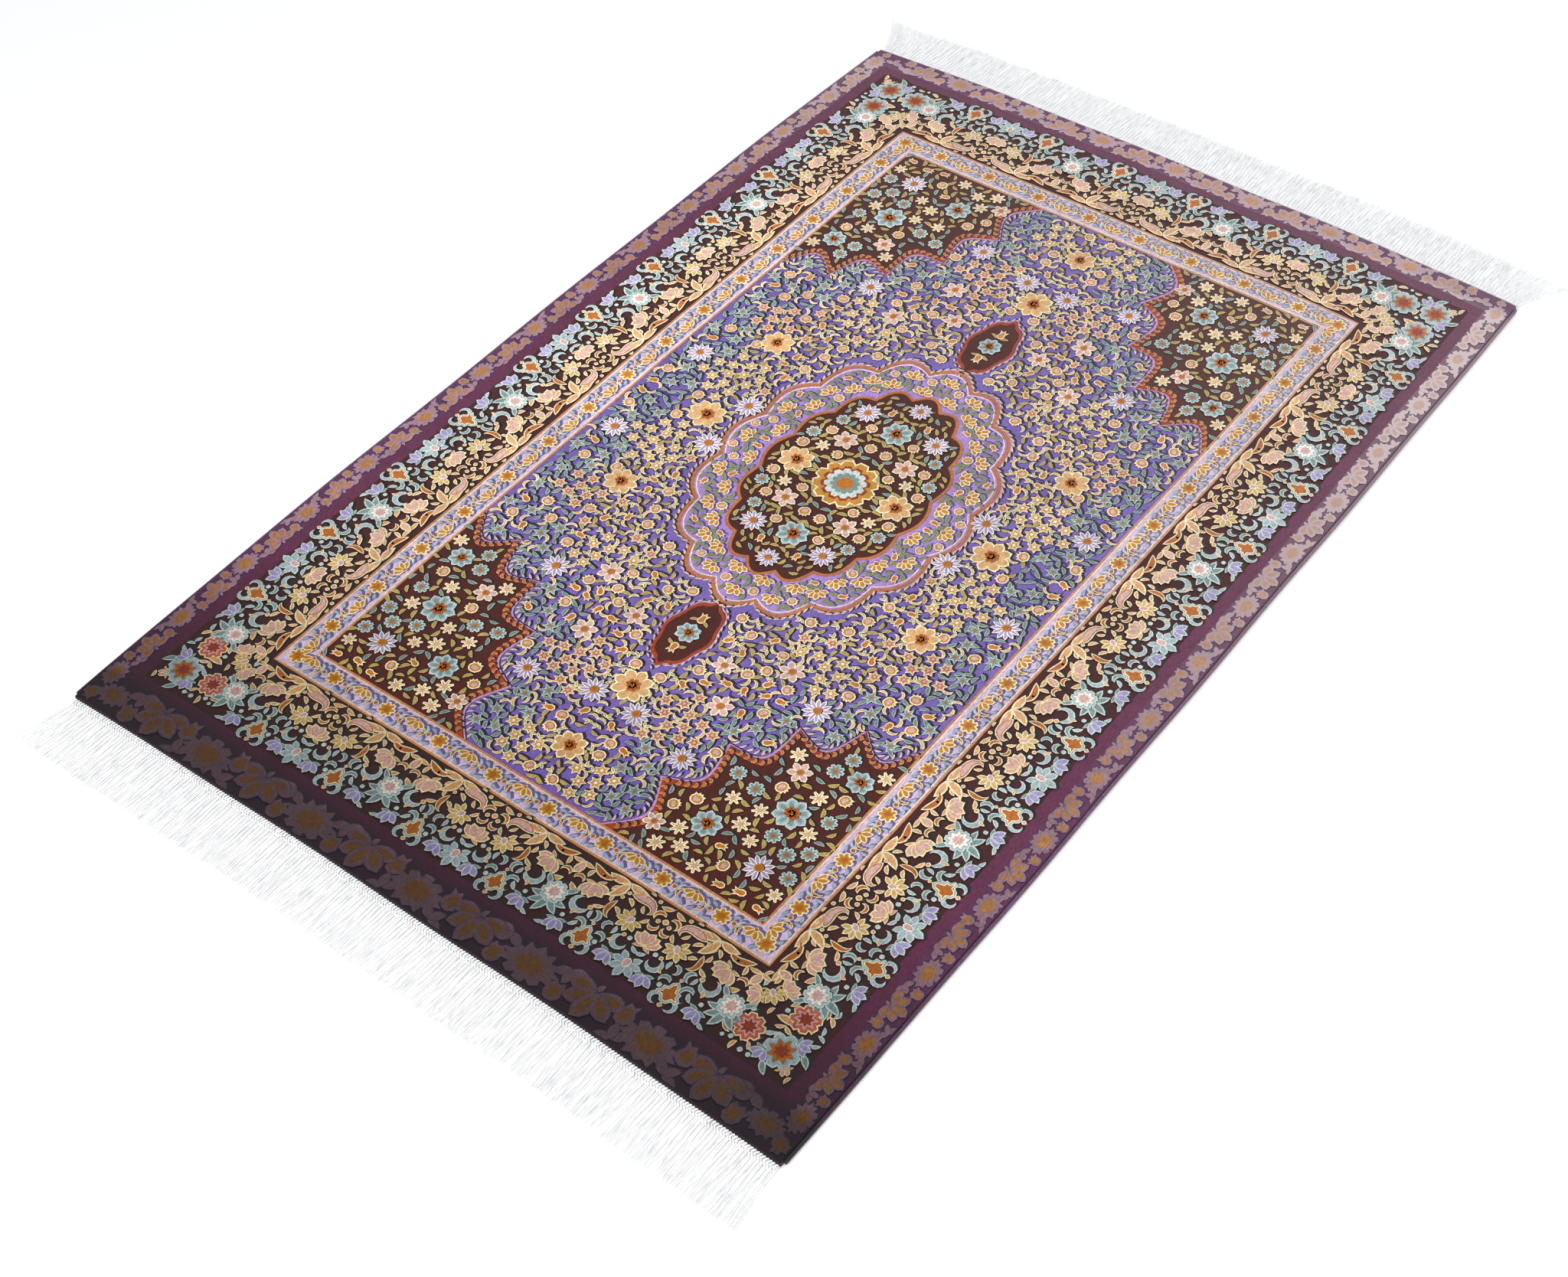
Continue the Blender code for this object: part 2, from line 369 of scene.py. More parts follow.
# ----------------------------------------------------------
# Side cords: the last warps on each side, wrapped round and round with plum silk into a firm cord,
# flush along the edge of the pile.
CORD_RADIUS = 1.0
CORD_HIGH = 2.0
CORD_CLEAR = 0.2
CORD_INSET = 3.0
CORD_STEPS = 120
cord_silk = silk("cord_silk", "#74526f", painted_near_shade=0.75, painted_right_light=0.3)
cord_tree = cord_silk.node_tree
cord_place = linked(cord_tree, "ShaderNodeTexCoord", output="Object")
cord_waves = {"Vector": cord_place, "Scale": 260, "Distortion": 0.6}
cord_turns = linked(cord_tree, "ShaderNodeTexWave", cord_waves, "Fac", bands_direction="Y")
cord_pile = cord_tree.nodes["Group"].outputs["Normal"]
cord_bump = {"Strength": 0.9, "Distance": FIBRE_DEPTH, "Height": cord_turns, "Normal": cord_pile}
surface(cord_silk, {"Normal": linked(cord_tree, "ShaderNodeBump", cord_bump)})


def put_down(name, data):
    """A new object in the scene, the only one selected."""
    piece = bpy.data.objects.new(name, data)
    bpy.context.scene.collection.objects.link(piece)
    bpy.ops.object.select_all(action="DESELECT")
    bpy.context.view_layer.objects.active = piece
    piece.select_set(True)
    return piece


def cords(name, paths, radius, material, closed=False, sides=1):
    """Round cords along paths, each a list of points in mm, made one mesh."""
    curve = bpy.data.curves.new(name, "CURVE")
    curve.dimensions = "3D"
    curve.bevel_depth = radius * MM
    curve.bevel_resolution = sides
    curve.use_fill_caps = True
    for path in paths:
        line = curve.splines.new("POLY")
        line.points.add(len(path) - 1)
        line.points.foreach_set("co", [c for x, y, z in path for c in (x * MM, y * MM, z * MM, 1)])
        line.use_cyclic_u = closed
    piece = put_down(name, curve)
    bpy.ops.object.convert(target="MESH")
    piece.data.materials.clear()
    piece.data.materials.append(material)
    piece.data.shade_smooth()
    return piece


def stretch_up(factor, z):
    """Makes the selected piece higher or lower about a height."""
    bpy.ops.object.mode_set(mode="EDIT")
    bpy.ops.mesh.select_all(action="SELECT")
    bpy.ops.transform.resize(value=(1, 1, factor), center_override=(0, 0, z))
    bpy.ops.object.mode_set(mode="OBJECT")


for side, way in (("left", -1), ("right", 1)):
    x = way * (HALF_WIDTH + CORD_CLEAR + CORD_RADIUS)
    reach = HALF_LENGTH - CORD_INSET
    path = [(x, -reach + 2 * reach * i / CORD_STEPS, CORD_RADIUS) for i in range(CORD_STEPS + 1)]
    cord = cords(f"side_cord_{side}", [path], CORD_RADIUS, cord_silk, sides=2)
    stretch_up(CORD_HIGH, 0)
    finish_piece(cord, f"side_cord_{side}")
    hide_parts(f"selvedge_{side}")

# ----------------------------------------------------------
# Fringes: the warps themselves, white silk left long at both ends. Two rows of slanting knots hold
# the last weft, and beyond them the threads lie loose, a little wavy and uneven at their tips.
THREADS = 1050
TUFT = 5
THREAD_RADIUS = 0.24
FRINGE_LENGTH = 49.0
SPLAY_WIDTH = 30
THREAD_STEPS = 9
HEADER = 5.0
HEADER_KNOTS = 260
HEADER_RADIUS = 0.55
white = new_material("white_warp", {"Roughness": 0.55, "Sheen Weight": 0.3})
white_place = linked(white.node_tree, "ShaderNodeTexCoord", output="Object")
white_streaks = noise(white.node_tree, white_place, 1, 2, (1500.0, 90.0, 1.0))
white_tone = linked(white.node_tree, "ShaderNodeValToRGB", [white_streaks])
for element, position, code in zip(white_tone.node.color_ramp.elements, (0.36, 0.5), ("#dfe1e6", "#ffffff")):
    element.position = position
    element.color = dye(code)
surface(white, {"Base Color": white_tone})


def end_threads(way, splay_left, splay_right, seed):
    """The paths of one end's loose threads: way is -1 at the near end and 1 at the far end. They hang
    together in tufts, which part from each other."""
    draws = random.Random(seed)
    paths = []
    edge = HALF_LENGTH + CORD_CLEAR
    pitch = 2 * HALF_WIDTH / THREADS
    for i in range(THREADS):
        if i % TUFT == 0:
            tuft_x = -HALF_WIDTH + pitch * (i + TUFT / 2)
            tuft_lean = draws.gauss(0, 0.6) + 1.1 * math.sin(i / 23 + seed)
            tuft_length = draws.uniform(-0.006, 0.006)
            phase = draws.uniform(0, 2 * math.pi)
        x = -HALF_WIDTH + pitch * (i + 0.5)
        uneven = 0.968 + 0.008 * math.sin(i / 31 + seed) + tuft_length + draws.uniform(-0.03, 0.014)
        length = FRINGE_LENGTH * uneven
        stray = draws.gauss(0, 0.35)
        left = max(0, 1 - (x + HALF_WIDTH) / SPLAY_WIDTH) ** 2 * splay_left
        right = max(0, 1 - (HALF_WIDTH - x) / SPLAY_WIDTH) ** 2 * splay_right
        path = []
        for share in [k / THREAD_STEPS for k in range(THREAD_STEPS + 1)]:
            gather = 0.24 * math.sin(math.pi * min(1, 1.25 * share))
            sway = (right - left) * share**1.5 + tuft_lean * share**1.2 + stray * share**2
            sway += 0.3 * math.sin(phase + share * 9) * min(1, 3 * share)
            sway += 2.5 * math.sin(x * 0.019 + seed) * math.cos(x * 0.007) * share**2
            height = 0.5 * abs(math.sin(phase * 3 + share * 5)) * (1 - share)
            height = THREAD_RADIUS + height + 0.16 * (i % 3)
            path.append((x + (tuft_x - x) * gather + sway, way * (edge + length * share), height))
        paths.append(path)
    return paths


def header_knots(way, seed):
    """Slanting stitches in two rows, over the roots of the threads."""
    draws = random.Random(seed)
    paths = []
    edge = HALF_LENGTH + CORD_CLEAR + 0.35
    for row, lean, high in ((0, -0.9, 1.9), (1, 0.9, 0.6)):
        for i in range(HEADER_KNOTS):
            x = -HALF_WIDTH + 2 * HALF_WIDTH * (i + 0.5 + 0.4 * row) / (HEADER_KNOTS + 0.5)
            slant = lean + draws.uniform(-0.2, 0.2)
            bends = [(-slant, high), (-slant / 2, high + 0.4), (slant / 2, 1.3), (slant, 0.5)]
            low = edge + row * HEADER / 2
            paths.append([(x + dx, way * (low + HEADER / 2 * k / 3), z) for k, (dx, z) in enumerate(bends)])
    return paths


fringes = []
for end, way, splay_left, splay_right, seed in (("near", -1, 12, 5, 11), ("far", 1, 23, 30, 23)):
    paths = end_threads(way, splay_left, splay_right, seed)
    threads = cords(f"fringe_threads_{end}", paths, THREAD_RADIUS, white, sides=0)
    header = cords(f"fringe_knots_{end}", header_knots(way, seed), HEADER_RADIUS, white, sides=0)
    for piece in (threads, header):
        finish_piece(piece, piece.name)
    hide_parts(f"fringe_{end}")
    fringes += [threads, header]

# ----------------------------------------------------------
# Outer band: leafy palmettes in dull rose and ochre on plum, with cups and tufts of leaves between
# them. Like all the figures they are knotted longer than the ground, so that they stand proud of it.
# Their roots lie a little to the far right, so their far right sides slope, in a dark outline and painted
# shade.
RELIEF = 0.6
ROOT = 0.12  # how deep the roots sit in the pile
RING_STEP = 0.08  # how much each ring of a figure rises on the one round it
LEVEL_STEP = 0.06  # how much each figure of a bloom rises on the one before
FOOT_SPREAD = 0.25
EDGE_CLEAR = 0.8
# How far the figures' roots are shifted, less in the outer band: the sides this flattens take a dark silk, a
# woven outline and painted shade in one.
LEAN = (1.0, 2.6)
BAND_LEAN = (0.3, 0.7)
MIDDLE = 5.0  # how far beyond the pile's middle the pattern has its own
figures = bpy.data.collections.new("figures")
outline_of = {}
silk_of = {}


# Silks for the figures, each table with one share of painted shade and painted sheen.
def dyes(table, painted_near_shade=0.3, painted_right_light=0.04, painted_left_sheen=0.0):
    for name, code in table.items():
        silk_of[name] = silk(name + "_silk", code, painted_near_shade, painted_right_light, painted_left_sheen)


def mirrored(half):
    """A whole outline from its right half, listed from the lowest point to the highest."""
    return half + [(-x, y) for x, y in reversed(half) if x > 0]


def polar(reach, angle, x=0.0, y=0.0):
    """The point at a distance and an angle from (x, y)."""
    return x + reach * math.cos(angle), y + reach * math.sin(angle)


def petals(count, reach, notch, shoulder=0.0):
    """A flower's outline: tips at reach, the notches between them at notch times that. With a
    shoulder, each petal is round, and its shoulders stand that share of a petal aside."""
    shape = [(-0.5, notch), (-shoulder, 1), (shoulder, 1)] if shoulder else [(-0.5, notch), (0, 1)]
    points = []
    for k in range(count):
        for share, radius in shape:
            points.append(polar(reach * radius, 2 * math.pi * (k + share) / count + math.pi / 2))
    return points


def curl(length, width, bend=0.0, steps=5, full=0.45, late=1.0):
    """The spine of a leaf that runs along +Y from its root, as (x, y, half width): it turns right by
    bend degrees, mostly near its tip if late is over 1, and is widest at the share full."""
    x = y = 0.0
    spine = [(0, 0, 0)]
    for i in range(1, steps + 1):
        angle = math.radians(bend) * ((i - 0.5) / steps) ** late
        x += math.sin(angle) * length / steps
        y += math.cos(angle) * length / steps
        share = i / steps
        belly = share / full if share < full else (1 - share) / (1 - full)
        spine.append((x, y, width / 2 * math.sin(math.pi / 2 * belly) ** 0.8))
    return spine


def blade(spine, rim=0.0):
    """The outline of a leaf round its spine, less a rim all round."""
    points = np.array(spine, float)
    way = np.gradient(points[:, :2], axis=0)
    way /= np.linalg.norm(way, axis=1)[:, None]
    aside = np.column_stack([way[:, 1], -way[:, 0]]) * np.maximum(points[:, 2:] - rim, 0.12)
    right, left = points[1:-1, :2] + aside[1:-1], points[-2:0:-1, :2] - aside[-2:0:-1]
    root, tip = points[:1, :2] + 1.6 * rim * way[:1], points[-1:, :2] - 1.6 * rim * way[-1:]
    return np.vstack([root, right, tip, left]).tolist()


def centred(points):
    """A spine, moved so that its middle is the origin."""
    x, y = np.mean([point[:2] for point in points], axis=0)
    return [(point[0] - x, point[1] - y, point[2]) for point in points]


def flipped(outline):
    """An outline as in a mirror, anticlockwise again."""
    return [(-x, y) for x, y in reversed(outline)]


def grown(outline, by):
    """An anticlockwise outline moved outwards by a distance."""
    points = []
    for i, (x, y) in enumerate(outline):
        (x0, y0), (x1, y1) = outline[i - 1], outline[(i + 1) % len(outline)]
        a = np.array([y - y0, x0 - x]) / (math.hypot(x - x0, y - y0) or 1)
        b = np.array([y1 - y, x - x1]) / (math.hypot(x1 - x, y1 - y) or 1)
        way = (a + b) / max(0.6, 1 + float(a @ b))
        points.append((x + by * way[0], y + by * way[1]))
    return points


def store(model, name, outline):
    """Moves a model to the stock of figures."""
    model.name = model.data.name = name
    model.users_collection[0].objects.unlink(model)
    figures.objects.link(model)
    outline_of[name] = outline


def figure(name, outline, rings, heart, relief=RELIEF, both_hands=False):
    """Models one raised figure. rings lists (silk, inset), from the rim inwards: the inset is in mm or,
    below zero, shrinks what is left to that share, or it is the next outline itself. The heart's silk
    fills the rest. A left hand form has _m behind its name."""
    if both_hands:
        others = [(dyed, flipped(inset) if isinstance(inset, list) else inset) for dyed, inset in rings]
        figure(name + "_m", flipped(outline), others, heart, relief)
    outlines = [outline]
    for _, inset in rings:
        if isinstance(inset, list):
            outlines.append(inset)
        elif inset < 0:
            outlines.append([(-inset * x, -inset * y) for x, y in outlines[-1]])
        else:
            outlines.append(grown(outlines[-1], -inset))
    bpy.ops.object.select_all(action="DESELECT")
    bpy.ops.mesh.primitive_circle_add(vertices=len(outline), radius=MM, fill_type="NGON")
    model = bpy.context.object
    for vert, (x, y) in zip(model.data.vertices, outline):
        vert.co = (x * MM, y * MM, 0)
    for dyed in [ring[0] for ring in rings] + [heart]:
        model.data.materials.append(silk_of[dyed])
    bpy.ops.object.mode_set(mode="EDIT")
    bpy.ops.mesh.select_all(action="SELECT")
    bpy.ops.mesh.extrude_region_move(TRANSFORM_OT_translate={"value": (0, 0, relief * MM)})
    for slot in range(1, len(rings) + 1):
        bpy.ops.mesh.inset(thickness=0.01 * MM, depth=RING_STEP * MM)
        model.active_material_index = slot
        bpy.ops.object.material_slot_assign()
    bpy.ops.object.mode_set(mode="OBJECT")
    # Each ring's points now lie just inside the rim's, and go to their own outline.
    for vert in list(model.data.vertices)[len(outline):]:
        near = np.argmin(np.hypot(*(np.array(outline) - np.array(vert.co.xy) / MM).T))
        x, y = outlines[round((vert.co.z / MM - relief) / RING_STEP)][near]
        vert.co = (x * MM, y * MM, vert.co.z)
    for vert, (x, y) in zip(model.data.vertices, grown(outline, FOOT_SPREAD)):
        vert.co = (x * MM, y * MM, 0)
    store(model, name, np.array(outline))


def leafy(name, spine, rings, heart, relief=RELIEF):
    """Models a leaf or a petal round its spine, for both hands."""
    rims = np.cumsum([rim for _, rim in rings])
    inner = [(dyed, blade(spine, rim)) for (dyed, _), rim in zip(rings, rims)]
    figure(name, blade(spine), inner, heart, relief, both_hands=True)


def other_hand(name):
    """The same figure as in a mirror."""
    if name.endswith("_m"):
        return name[:-2]
    return name + "_m" if name + "_m" in outline_of else name


def bloom(name, parts, both_hands=False):
    """Joins figures into one. parts lists (figure, x, y, turn, size), and later ones lie on the others."""
    for hand, side in ((name, 1), (name + "_m", -1))[: 2 if both_hands else 1]:
        bpy.ops.object.select_all(action="DESELECT")
        covered = []
        for level, (part, x, y, turn, size) in enumerate(parts):
            piece = figures.objects[part if side > 0 else other_hand(part)].copy()
            piece.data = piece.data.copy()
            c, s = polar(size, side * math.radians(turn))
            for vert in piece.data.vertices:
                vx, vy, vz = vert.co
                lift = LEVEL_STEP * level * MM if vz > 0 else 0
                vert.co = (side * x * MM + c * vx - s * vy, y * MM + s * vx + c * vy, vz + lift)
            covered.append(outline_of[part] * (side, 1) @ [[c, s], [-s, c]] + (side * x, y))
            bpy.context.scene.collection.objects.link(piece)
            piece.select_set(True)
            bpy.context.view_layer.objects.active = piece
        bpy.ops.object.join()
        store(bpy.context.object, hand, np.vstack(covered))


def fan(petal, count, reach, y=0.0, size=1.0, droop=0.0):
    """Petals fanned out from (0, y), reach degrees to each side: the middle ones lie on top."""
    turns = sorted(np.linspace(-reach, reach, count), key=lambda turn: -abs(turn))
    return [
        (petal if turn <= 0 else other_hand(petal), 0, y, turn, size * (1 - droop * abs(turn) / reach))
        for turn in turns
    ]


def wheel(petal, count, heart, heart_size):
    """Petals all round a heart."""
    return [(petal, 0, 0, 360 * k / count, 1.0) for k in range(count)] + [(heart, 0, 0, 0, heart_size)]


def make_knotting():
    """Puts the figure called for at each point, turned and sized, and makes all of it one mesh."""
    tree = bpy.data.node_groups.new("knotting", "GeometryNodeTree")
    for way in ("INPUT", "OUTPUT"):
        tree.interface.new_socket("Geometry", in_out=way, socket_type="NodeSocketGeometry")
    kind, turn, size = [
        linked(tree, "GeometryNodeInputNamedAttribute", {"Name": name}, "Attribute", data_type=data_type)
        for name, data_type in (("kind", "INT"), ("turn", "FLOAT"), ("size", "FLOAT_VECTOR"))
    ]
    stock = {"Collection": figures, "Separate Children": True}
    put = linked(tree, "GeometryNodeInstanceOnPoints", {
        "Points": tree.nodes.new("NodeGroupInput").outputs[0],
        "Instance": linked(tree, "GeometryNodeCollectionInfo", stock),
        "Pick Instance": True,
        "Instance Index": kind,
        "Rotation": linked(tree, "ShaderNodeCombineXYZ", {"Z": turn}),
        "Scale": size,
    })
    real = linked(tree, "GeometryNodeRealizeInstances", [put])
    feed(tree, tree.nodes.new("NodeGroupOutput"), [real])
    return tree


knotting = make_knotting()


def spread(name, places, shade, lean=LEAN):
    """Knots a figure at each place, given as (figure, x, y, turn in degrees, size), in one piece. Their
    roots are shifted by lean, and the sides that this flattens take the silk in shade, which is a dark
    outline and painted shade in one."""
    order = sorted(outline_of)
    mesh = bpy.data.meshes.new(name)
    mesh.from_pydata([(x * MM, y * MM, (PILE_TOP - ROOT) * MM) for _, x, y, _, _ in places], [], [])
    for title, kind, key, values in (
        ("kind", "INT", "value", [order.index(place[0]) for place in places]),
        ("turn", "FLOAT", "value", [math.radians(place[3]) for place in places]),
        ("size", "FLOAT_VECTOR", "vector", [c for place in places for c in (place[4], place[4], 1)]),
    ):
        mesh.attributes.new(title, kind, "POINT").data.foreach_set(key, values)
    piece = put_down(name, mesh)
    piece.modifiers.new("knotting", "NODES").node_group = knotting
    bpy.ops.object.modifier_apply(modifier="knotting")
    mesh = piece.data
    spots = read(mesh.vertices, "co", 3)
    roots = spots[:, 2] < (PILE_TOP - ROOT / 2) * MM
    limits = (np.array([HALF_WIDTH, HALF_LENGTH]) - EDGE_CLEAR) * MM
    spots[roots, :2] += np.array(lean) * MM
    spots[:, :2] = np.clip(spots[:, :2], -limits, limits)
    mesh.vertices.foreach_set("co", spots.ravel())
    mesh.update()
    corner_roots = roots[read(mesh.loops, "vertex_index", kind=int)].astype(int)
    sides = np.maximum.reduceat(corner_roots, read(mesh.polygons, "loop_start", kind=int)) > 0
    sloping = np.abs(read(mesh.polygons, "normal", 3)[:, 2]) > 0.3
    slots = read(mesh.polygons, "material_index", kind=int)
    mesh.materials.append(silk_of[shade])
    slots[sides & sloping] = len(mesh.materials) - 1
    mesh.polygons.foreach_set("material_index", slots)
    finish_piece(piece, name)


def run(chart, half_unit, limit, pick=(0, 1, 2, 3), deep=1.0):
    """Repeats a chart along the right, left, far and near sides of a band, every second time mirrored.
    The chart lists (figure, along, out, turn, size): along from 0 to half_unit, out from the band's
    inner limit, and turn from the way out. A band that is deeper has all of it larger."""
    half, near, far = LIMITS[limit]
    middle = (near + far) / 2
    placed = {}
    for side in pick:
        (cx, cy), (ox, oy), turned, length = [
            ((half, middle), (1, 0), -90, far - near),
            ((-half, middle), (-1, 0), 90, far - near),
            ((0, far), (0, 1), 0, 2 * half),
            ((0, near), (0, -1), 180, 2 * half),
        ][side]
        count = 2 * max(1, round(length / half_unit / deep / 2))
        for k in range(count):
            for name, along, out, turn, size in chart:
                share = 1 - along / half_unit if k % 2 else along / half_unit
                here = length / count * (k + share) - length / 2
                x, y = cx + oy * here + ox * out * deep, cy - ox * here + oy * out * deep
                hand, turn = (other_hand(name), -turn) if k % 2 else (name, turn)
                placed[(round(x, 1), round(y, 1))] = (hand, x, y, turned + turn, size * deep)
    return list(placed.values())


def quarters(chart, over=((1, 1), (-1, 1), (1, -1), (-1, -1))):
    """Repeats a chart of the far right quarter of the rug in the others, as in a mirror. Its places
    are counted from the middle of the pattern."""
    placed = {}
    for right, up in over:
        for name, x, y, turn, size in chart:
            hand, spin = (name, turn) if right * up > 0 else (other_hand(name), -turn)
            x, y = right * x, MIDDLE + up * y
            placed[(round(x, 1), round(y, 1))] = (hand, x, y, spin + (180 if up < 0 else 0), size)
    return list(placed.values())


def fill(chart, size, margin, kinds, gap, seed, ground=None):
    """Adds figures to a chart of that size wherever there is room: within the margins at its sides,
    below and above or, on a ground, where ground(x, y, margin) is true. kinds, or what it says of a
    place, is the names to draw from, the sizes and the room that one takes. gap is the clear way from
    another figure's outline. They turn round the nearest figure of the chart like a wreath."""
    taken = np.zeros((int(size[0]) + 1, int(size[1]) + 1), bool)

    def mark(x, y, radius):
        i, j = max(0, int(x - radius)), max(0, int(y - radius))
        part = taken[i : max(0, int(x + radius) + 2), j : max(0, int(y + radius) + 2)]
        rows = (np.arange(part.shape[0]) + i + 0.5 - x)[:, None]
        part |= rows**2 + (np.arange(part.shape[1]) + j + 0.5 - y) ** 2 < radius**2

    for name, x, y, turn, scale in chart:
        c, s = polar(scale, math.radians(turn))
        for share in (1, 0.5, 0):
            for px, py in outline_of[name] * share:
                mark(x + c * px - s * py, y + s * px + c * py, gap)
    draw = random.Random(seed)
    spots = [(i, j) for i in range(taken.shape[0]) for j in range(taken.shape[1]) if not taken[i, j]]
    draw.shuffle(spots)
    added = []
    hubs = np.array([place[1:3] for place in chart])
    for i, j in spots:
        x, y = i + 0.5, j + 0.5
        if ground:
            fits = ground(x, y, margin)
        else:
            fits = margin[0] < x < size[0] - margin[0] and margin[1] < y < size[1] - margin[2]
        if taken[i, j] or not fits:
            continue
        names, scales, room = kinds(x, y) if callable(kinds) else kinds
        name = names if isinstance(names, str) else draw.choice(names)
        scale = draw.uniform(*scales) if isinstance(scales, tuple) else scales
        hub = hubs[np.argmin((hubs[:, 0] - x) ** 2 + (hubs[:, 1] - y) ** 2)]
        turn = math.degrees(math.atan2(y - hub[1], x - hub[0])) - 90
        turn += draw.choice((-60, 60)) + draw.uniform(-25, 25)
        added.append((name, x, y, turn, scale))
        mark(x, y, room)
    return chart + added


dyes({"dull_rose": "#9e7c86", "plum_line": "#62477c"}, painted_near_shade=0.75, painted_right_light=0.74)
dyes({"ochre": "#ab7744"}, painted_near_shade=0.75, painted_right_light=0.46)
# The dark silk of the figures' sloping sides: a woven outline and painted shade in one.
dyes({"plum_shade": "#331a31"}, painted_near_shade=0.9)
LOW = 0.34
figure("band_palmette", mirrored([
    (0, -9), (2.6, -8.6), (3, -6.4), (6, -8), (9.4, -6), (8.4, -3.6), (12.4, -4), (11.6, -0.8),
    (14.6, 1.4), (10.6, 2.6), (11.2, 6), (7.2, 5.4), (6.6, 9.4), (3, 7.4), (0, 10.4),
]), [("plum_line", 0.3), ("dull_rose", -0.52)], "ochre", LOW)
figure("band_cup", mirrored([
    (0, -6.4), (3.4, -5.4), (5.6, -2.2), (5.2, 0.6), (8, 4.4), (4.4, 4.2), (2.6, 7), (0, 5),
]), [("plum_line", 0.3), ("dull_rose", -0.6)], "ochre", LOW)
leafy("band_leaf", curl(11, 6.4, 35), [("plum_line", 0.3)], "dull_rose", LOW)
leafy("band_petal", curl(13, 7.6, 20, full=0.55), [("plum_line", 0.3), ("dull_rose", 1.7)], "ochre", LOW)
leafy("band_tip", centred(curl(7, 4, 60, 4)), [("plum_line", 0.3)], "dull_rose", LOW)
bloom("band_lily", [("band_leaf", 0.6, -5.5, 180, 0.4)] + fan("band_petal", 5, 80, -6, 1.12, 0.1))
bloom("band_tuft", fan("band_leaf", 3, 58, -3, 0.8))
BAND_UNIT = 58.0
stripe_half, stripe_near, stripe_far = LIMITS["stripe"]
band_depth = HALF_WIDTH - stripe_half
band_chart = fill([
    ("band_palmette", 0, 9.2, 180, 0.88),
    ("band_tuft", 15.4, 4, -20, 0.84),
    ("band_cup", 15, 12.6, 180, 0.68),
    ("band_lily", 29, 9.4, 0, 0.97),
    ("band_tuft", 44.4, 13.6, 150, 0.84),
    ("band_cup", 43, 5, 150, 0.72),
    ("band_palmette", 58, 8.8, 0, 0.88),
], (BAND_UNIT, band_depth), (1.5, 2.6, 3.1), ("band_tip", 0.8, 5.4), gap=2.6, seed=3)
band_places = run(band_chart, BAND_UNIT, "stripe", pick=(0, 1))
for side, depth in ((2, HALF_LENGTH - stripe_far), (3, HALF_LENGTH + stripe_near)):
    band_end = run(band_chart, BAND_UNIT, "stripe", pick=(side,), deep=depth / band_depth)
    band_places += [place for place in band_end if abs(place[1]) < stripe_half - 8]
for way in (-1, 1):
    band_places += [
        ("band_palmette", way * (stripe_half - 5), stripe_near - 15, 180, 1.0),
        ("band_cup", way * (stripe_half + 10), stripe_near - 21, 180 + 45 * way, 0.95),
        ("band_tuft", way * (stripe_half - 5), stripe_far + 9, 0, 1.0),
        ("band_cup", way * (stripe_half + 7), stripe_far + 14.5, -45 * way, 0.6),
    ]
spread("outer_band_figures", band_places, "plum_shade", BAND_LEAN)

# ----------------------------------------------------------
# Main border: on dark maroon, ice-blue palmettes and scrolls along its outer side, tulips, lilies and
# long curling leaves in cream along its inner side. It mirrors every 72 mm, and a group of three
# rosettes turns each corner.
BORDER_UNIT = 72.0
COOL_FROM = 32
# The first, the darkest, is the silk of the figures' sloping sides on maroon and brown: a woven outline and
# painted shade in one.
dyes({
    "black": "#140809", "ice": "#c2cdc7", "mist": "#9db0b4", "teal": "#76908d", "cream": "#ebd9b2",
    "straw": "#c8a96a", "gold": "#b9842f", "peach": "#cf9e70", "orange": "#ab6229", "rust": "#8c3417",
    "lilac": "#9f92c0", "pink": "#cba6a2", "white": "#efe6d4", "sage": "#6c8064", "coral": "#bd6b58",
}, painted_near_shade=0.6, painted_left_sheen=0.32)
hook_spine, tip_spine = centred(curl(13, 3.4, 200, 6, 0.4)), centred(curl(8, 3.2, 60, 4))
leafy("ice_petal", curl(10, 5, 12, 4, 0.6), [("ice", 0.85)], "mist")
leafy("ice_leaf", curl(12, 4.6, 30), [("ice", 0.8)], "teal")
leafy("ice_crescent", curl(28, 5, 250, 9, 0.4, 1.1), [("ice", 0.85)], "mist")
leafy("ice_hook", hook_spine, [("ice", 0.75)], "teal")
leafy("ice_tip", tip_spine, [("ice", 0.75)], "mist")
leafy("lilac_petal", curl(9, 4.8, 14, 4, 0.55), [("ice", 0.75)], "lilac")
leafy("cream_petal", curl(10, 5.6, 18, 4, 0.6), [("cream", 0.85), ("peach", 0.6)], "pink")
leafy("straw_petal", curl(9, 4, 0, 4, 0.6), [("cream", 0.75)], "straw")
leafy("cream_horn", curl(24, 5.8, 110, 8, 0.4, 2.2), [("cream", 0.9)], "orange")
leafy("cream_leaf", curl(12, 4.6, 45), [("cream", 0.8)], "peach")
leafy("cream_hook", hook_spine, [("cream", 0.75)], "orange")
leafy("cream_tip", tip_spine, [("cream", 0.75)], "peach")
leafy("boteh", curl(30, 8.4, 175, 9, 0.32, 3.0), [("cream", 0.9), ("orange", 0.8)], "pink")
figure("ice_bead", petals(4, 1.8, 0.92), [("ice", 0.6)], "ice")
figure("cream_bead", petals(4, 1.8, 0.92), [("cream", 0.6)], "peach")
figure("ice_head", petals(9, 8, 0.84, 0.27), [("ice", 0.9), ("mist", 0.9), ("white", -0.6)], "pink")
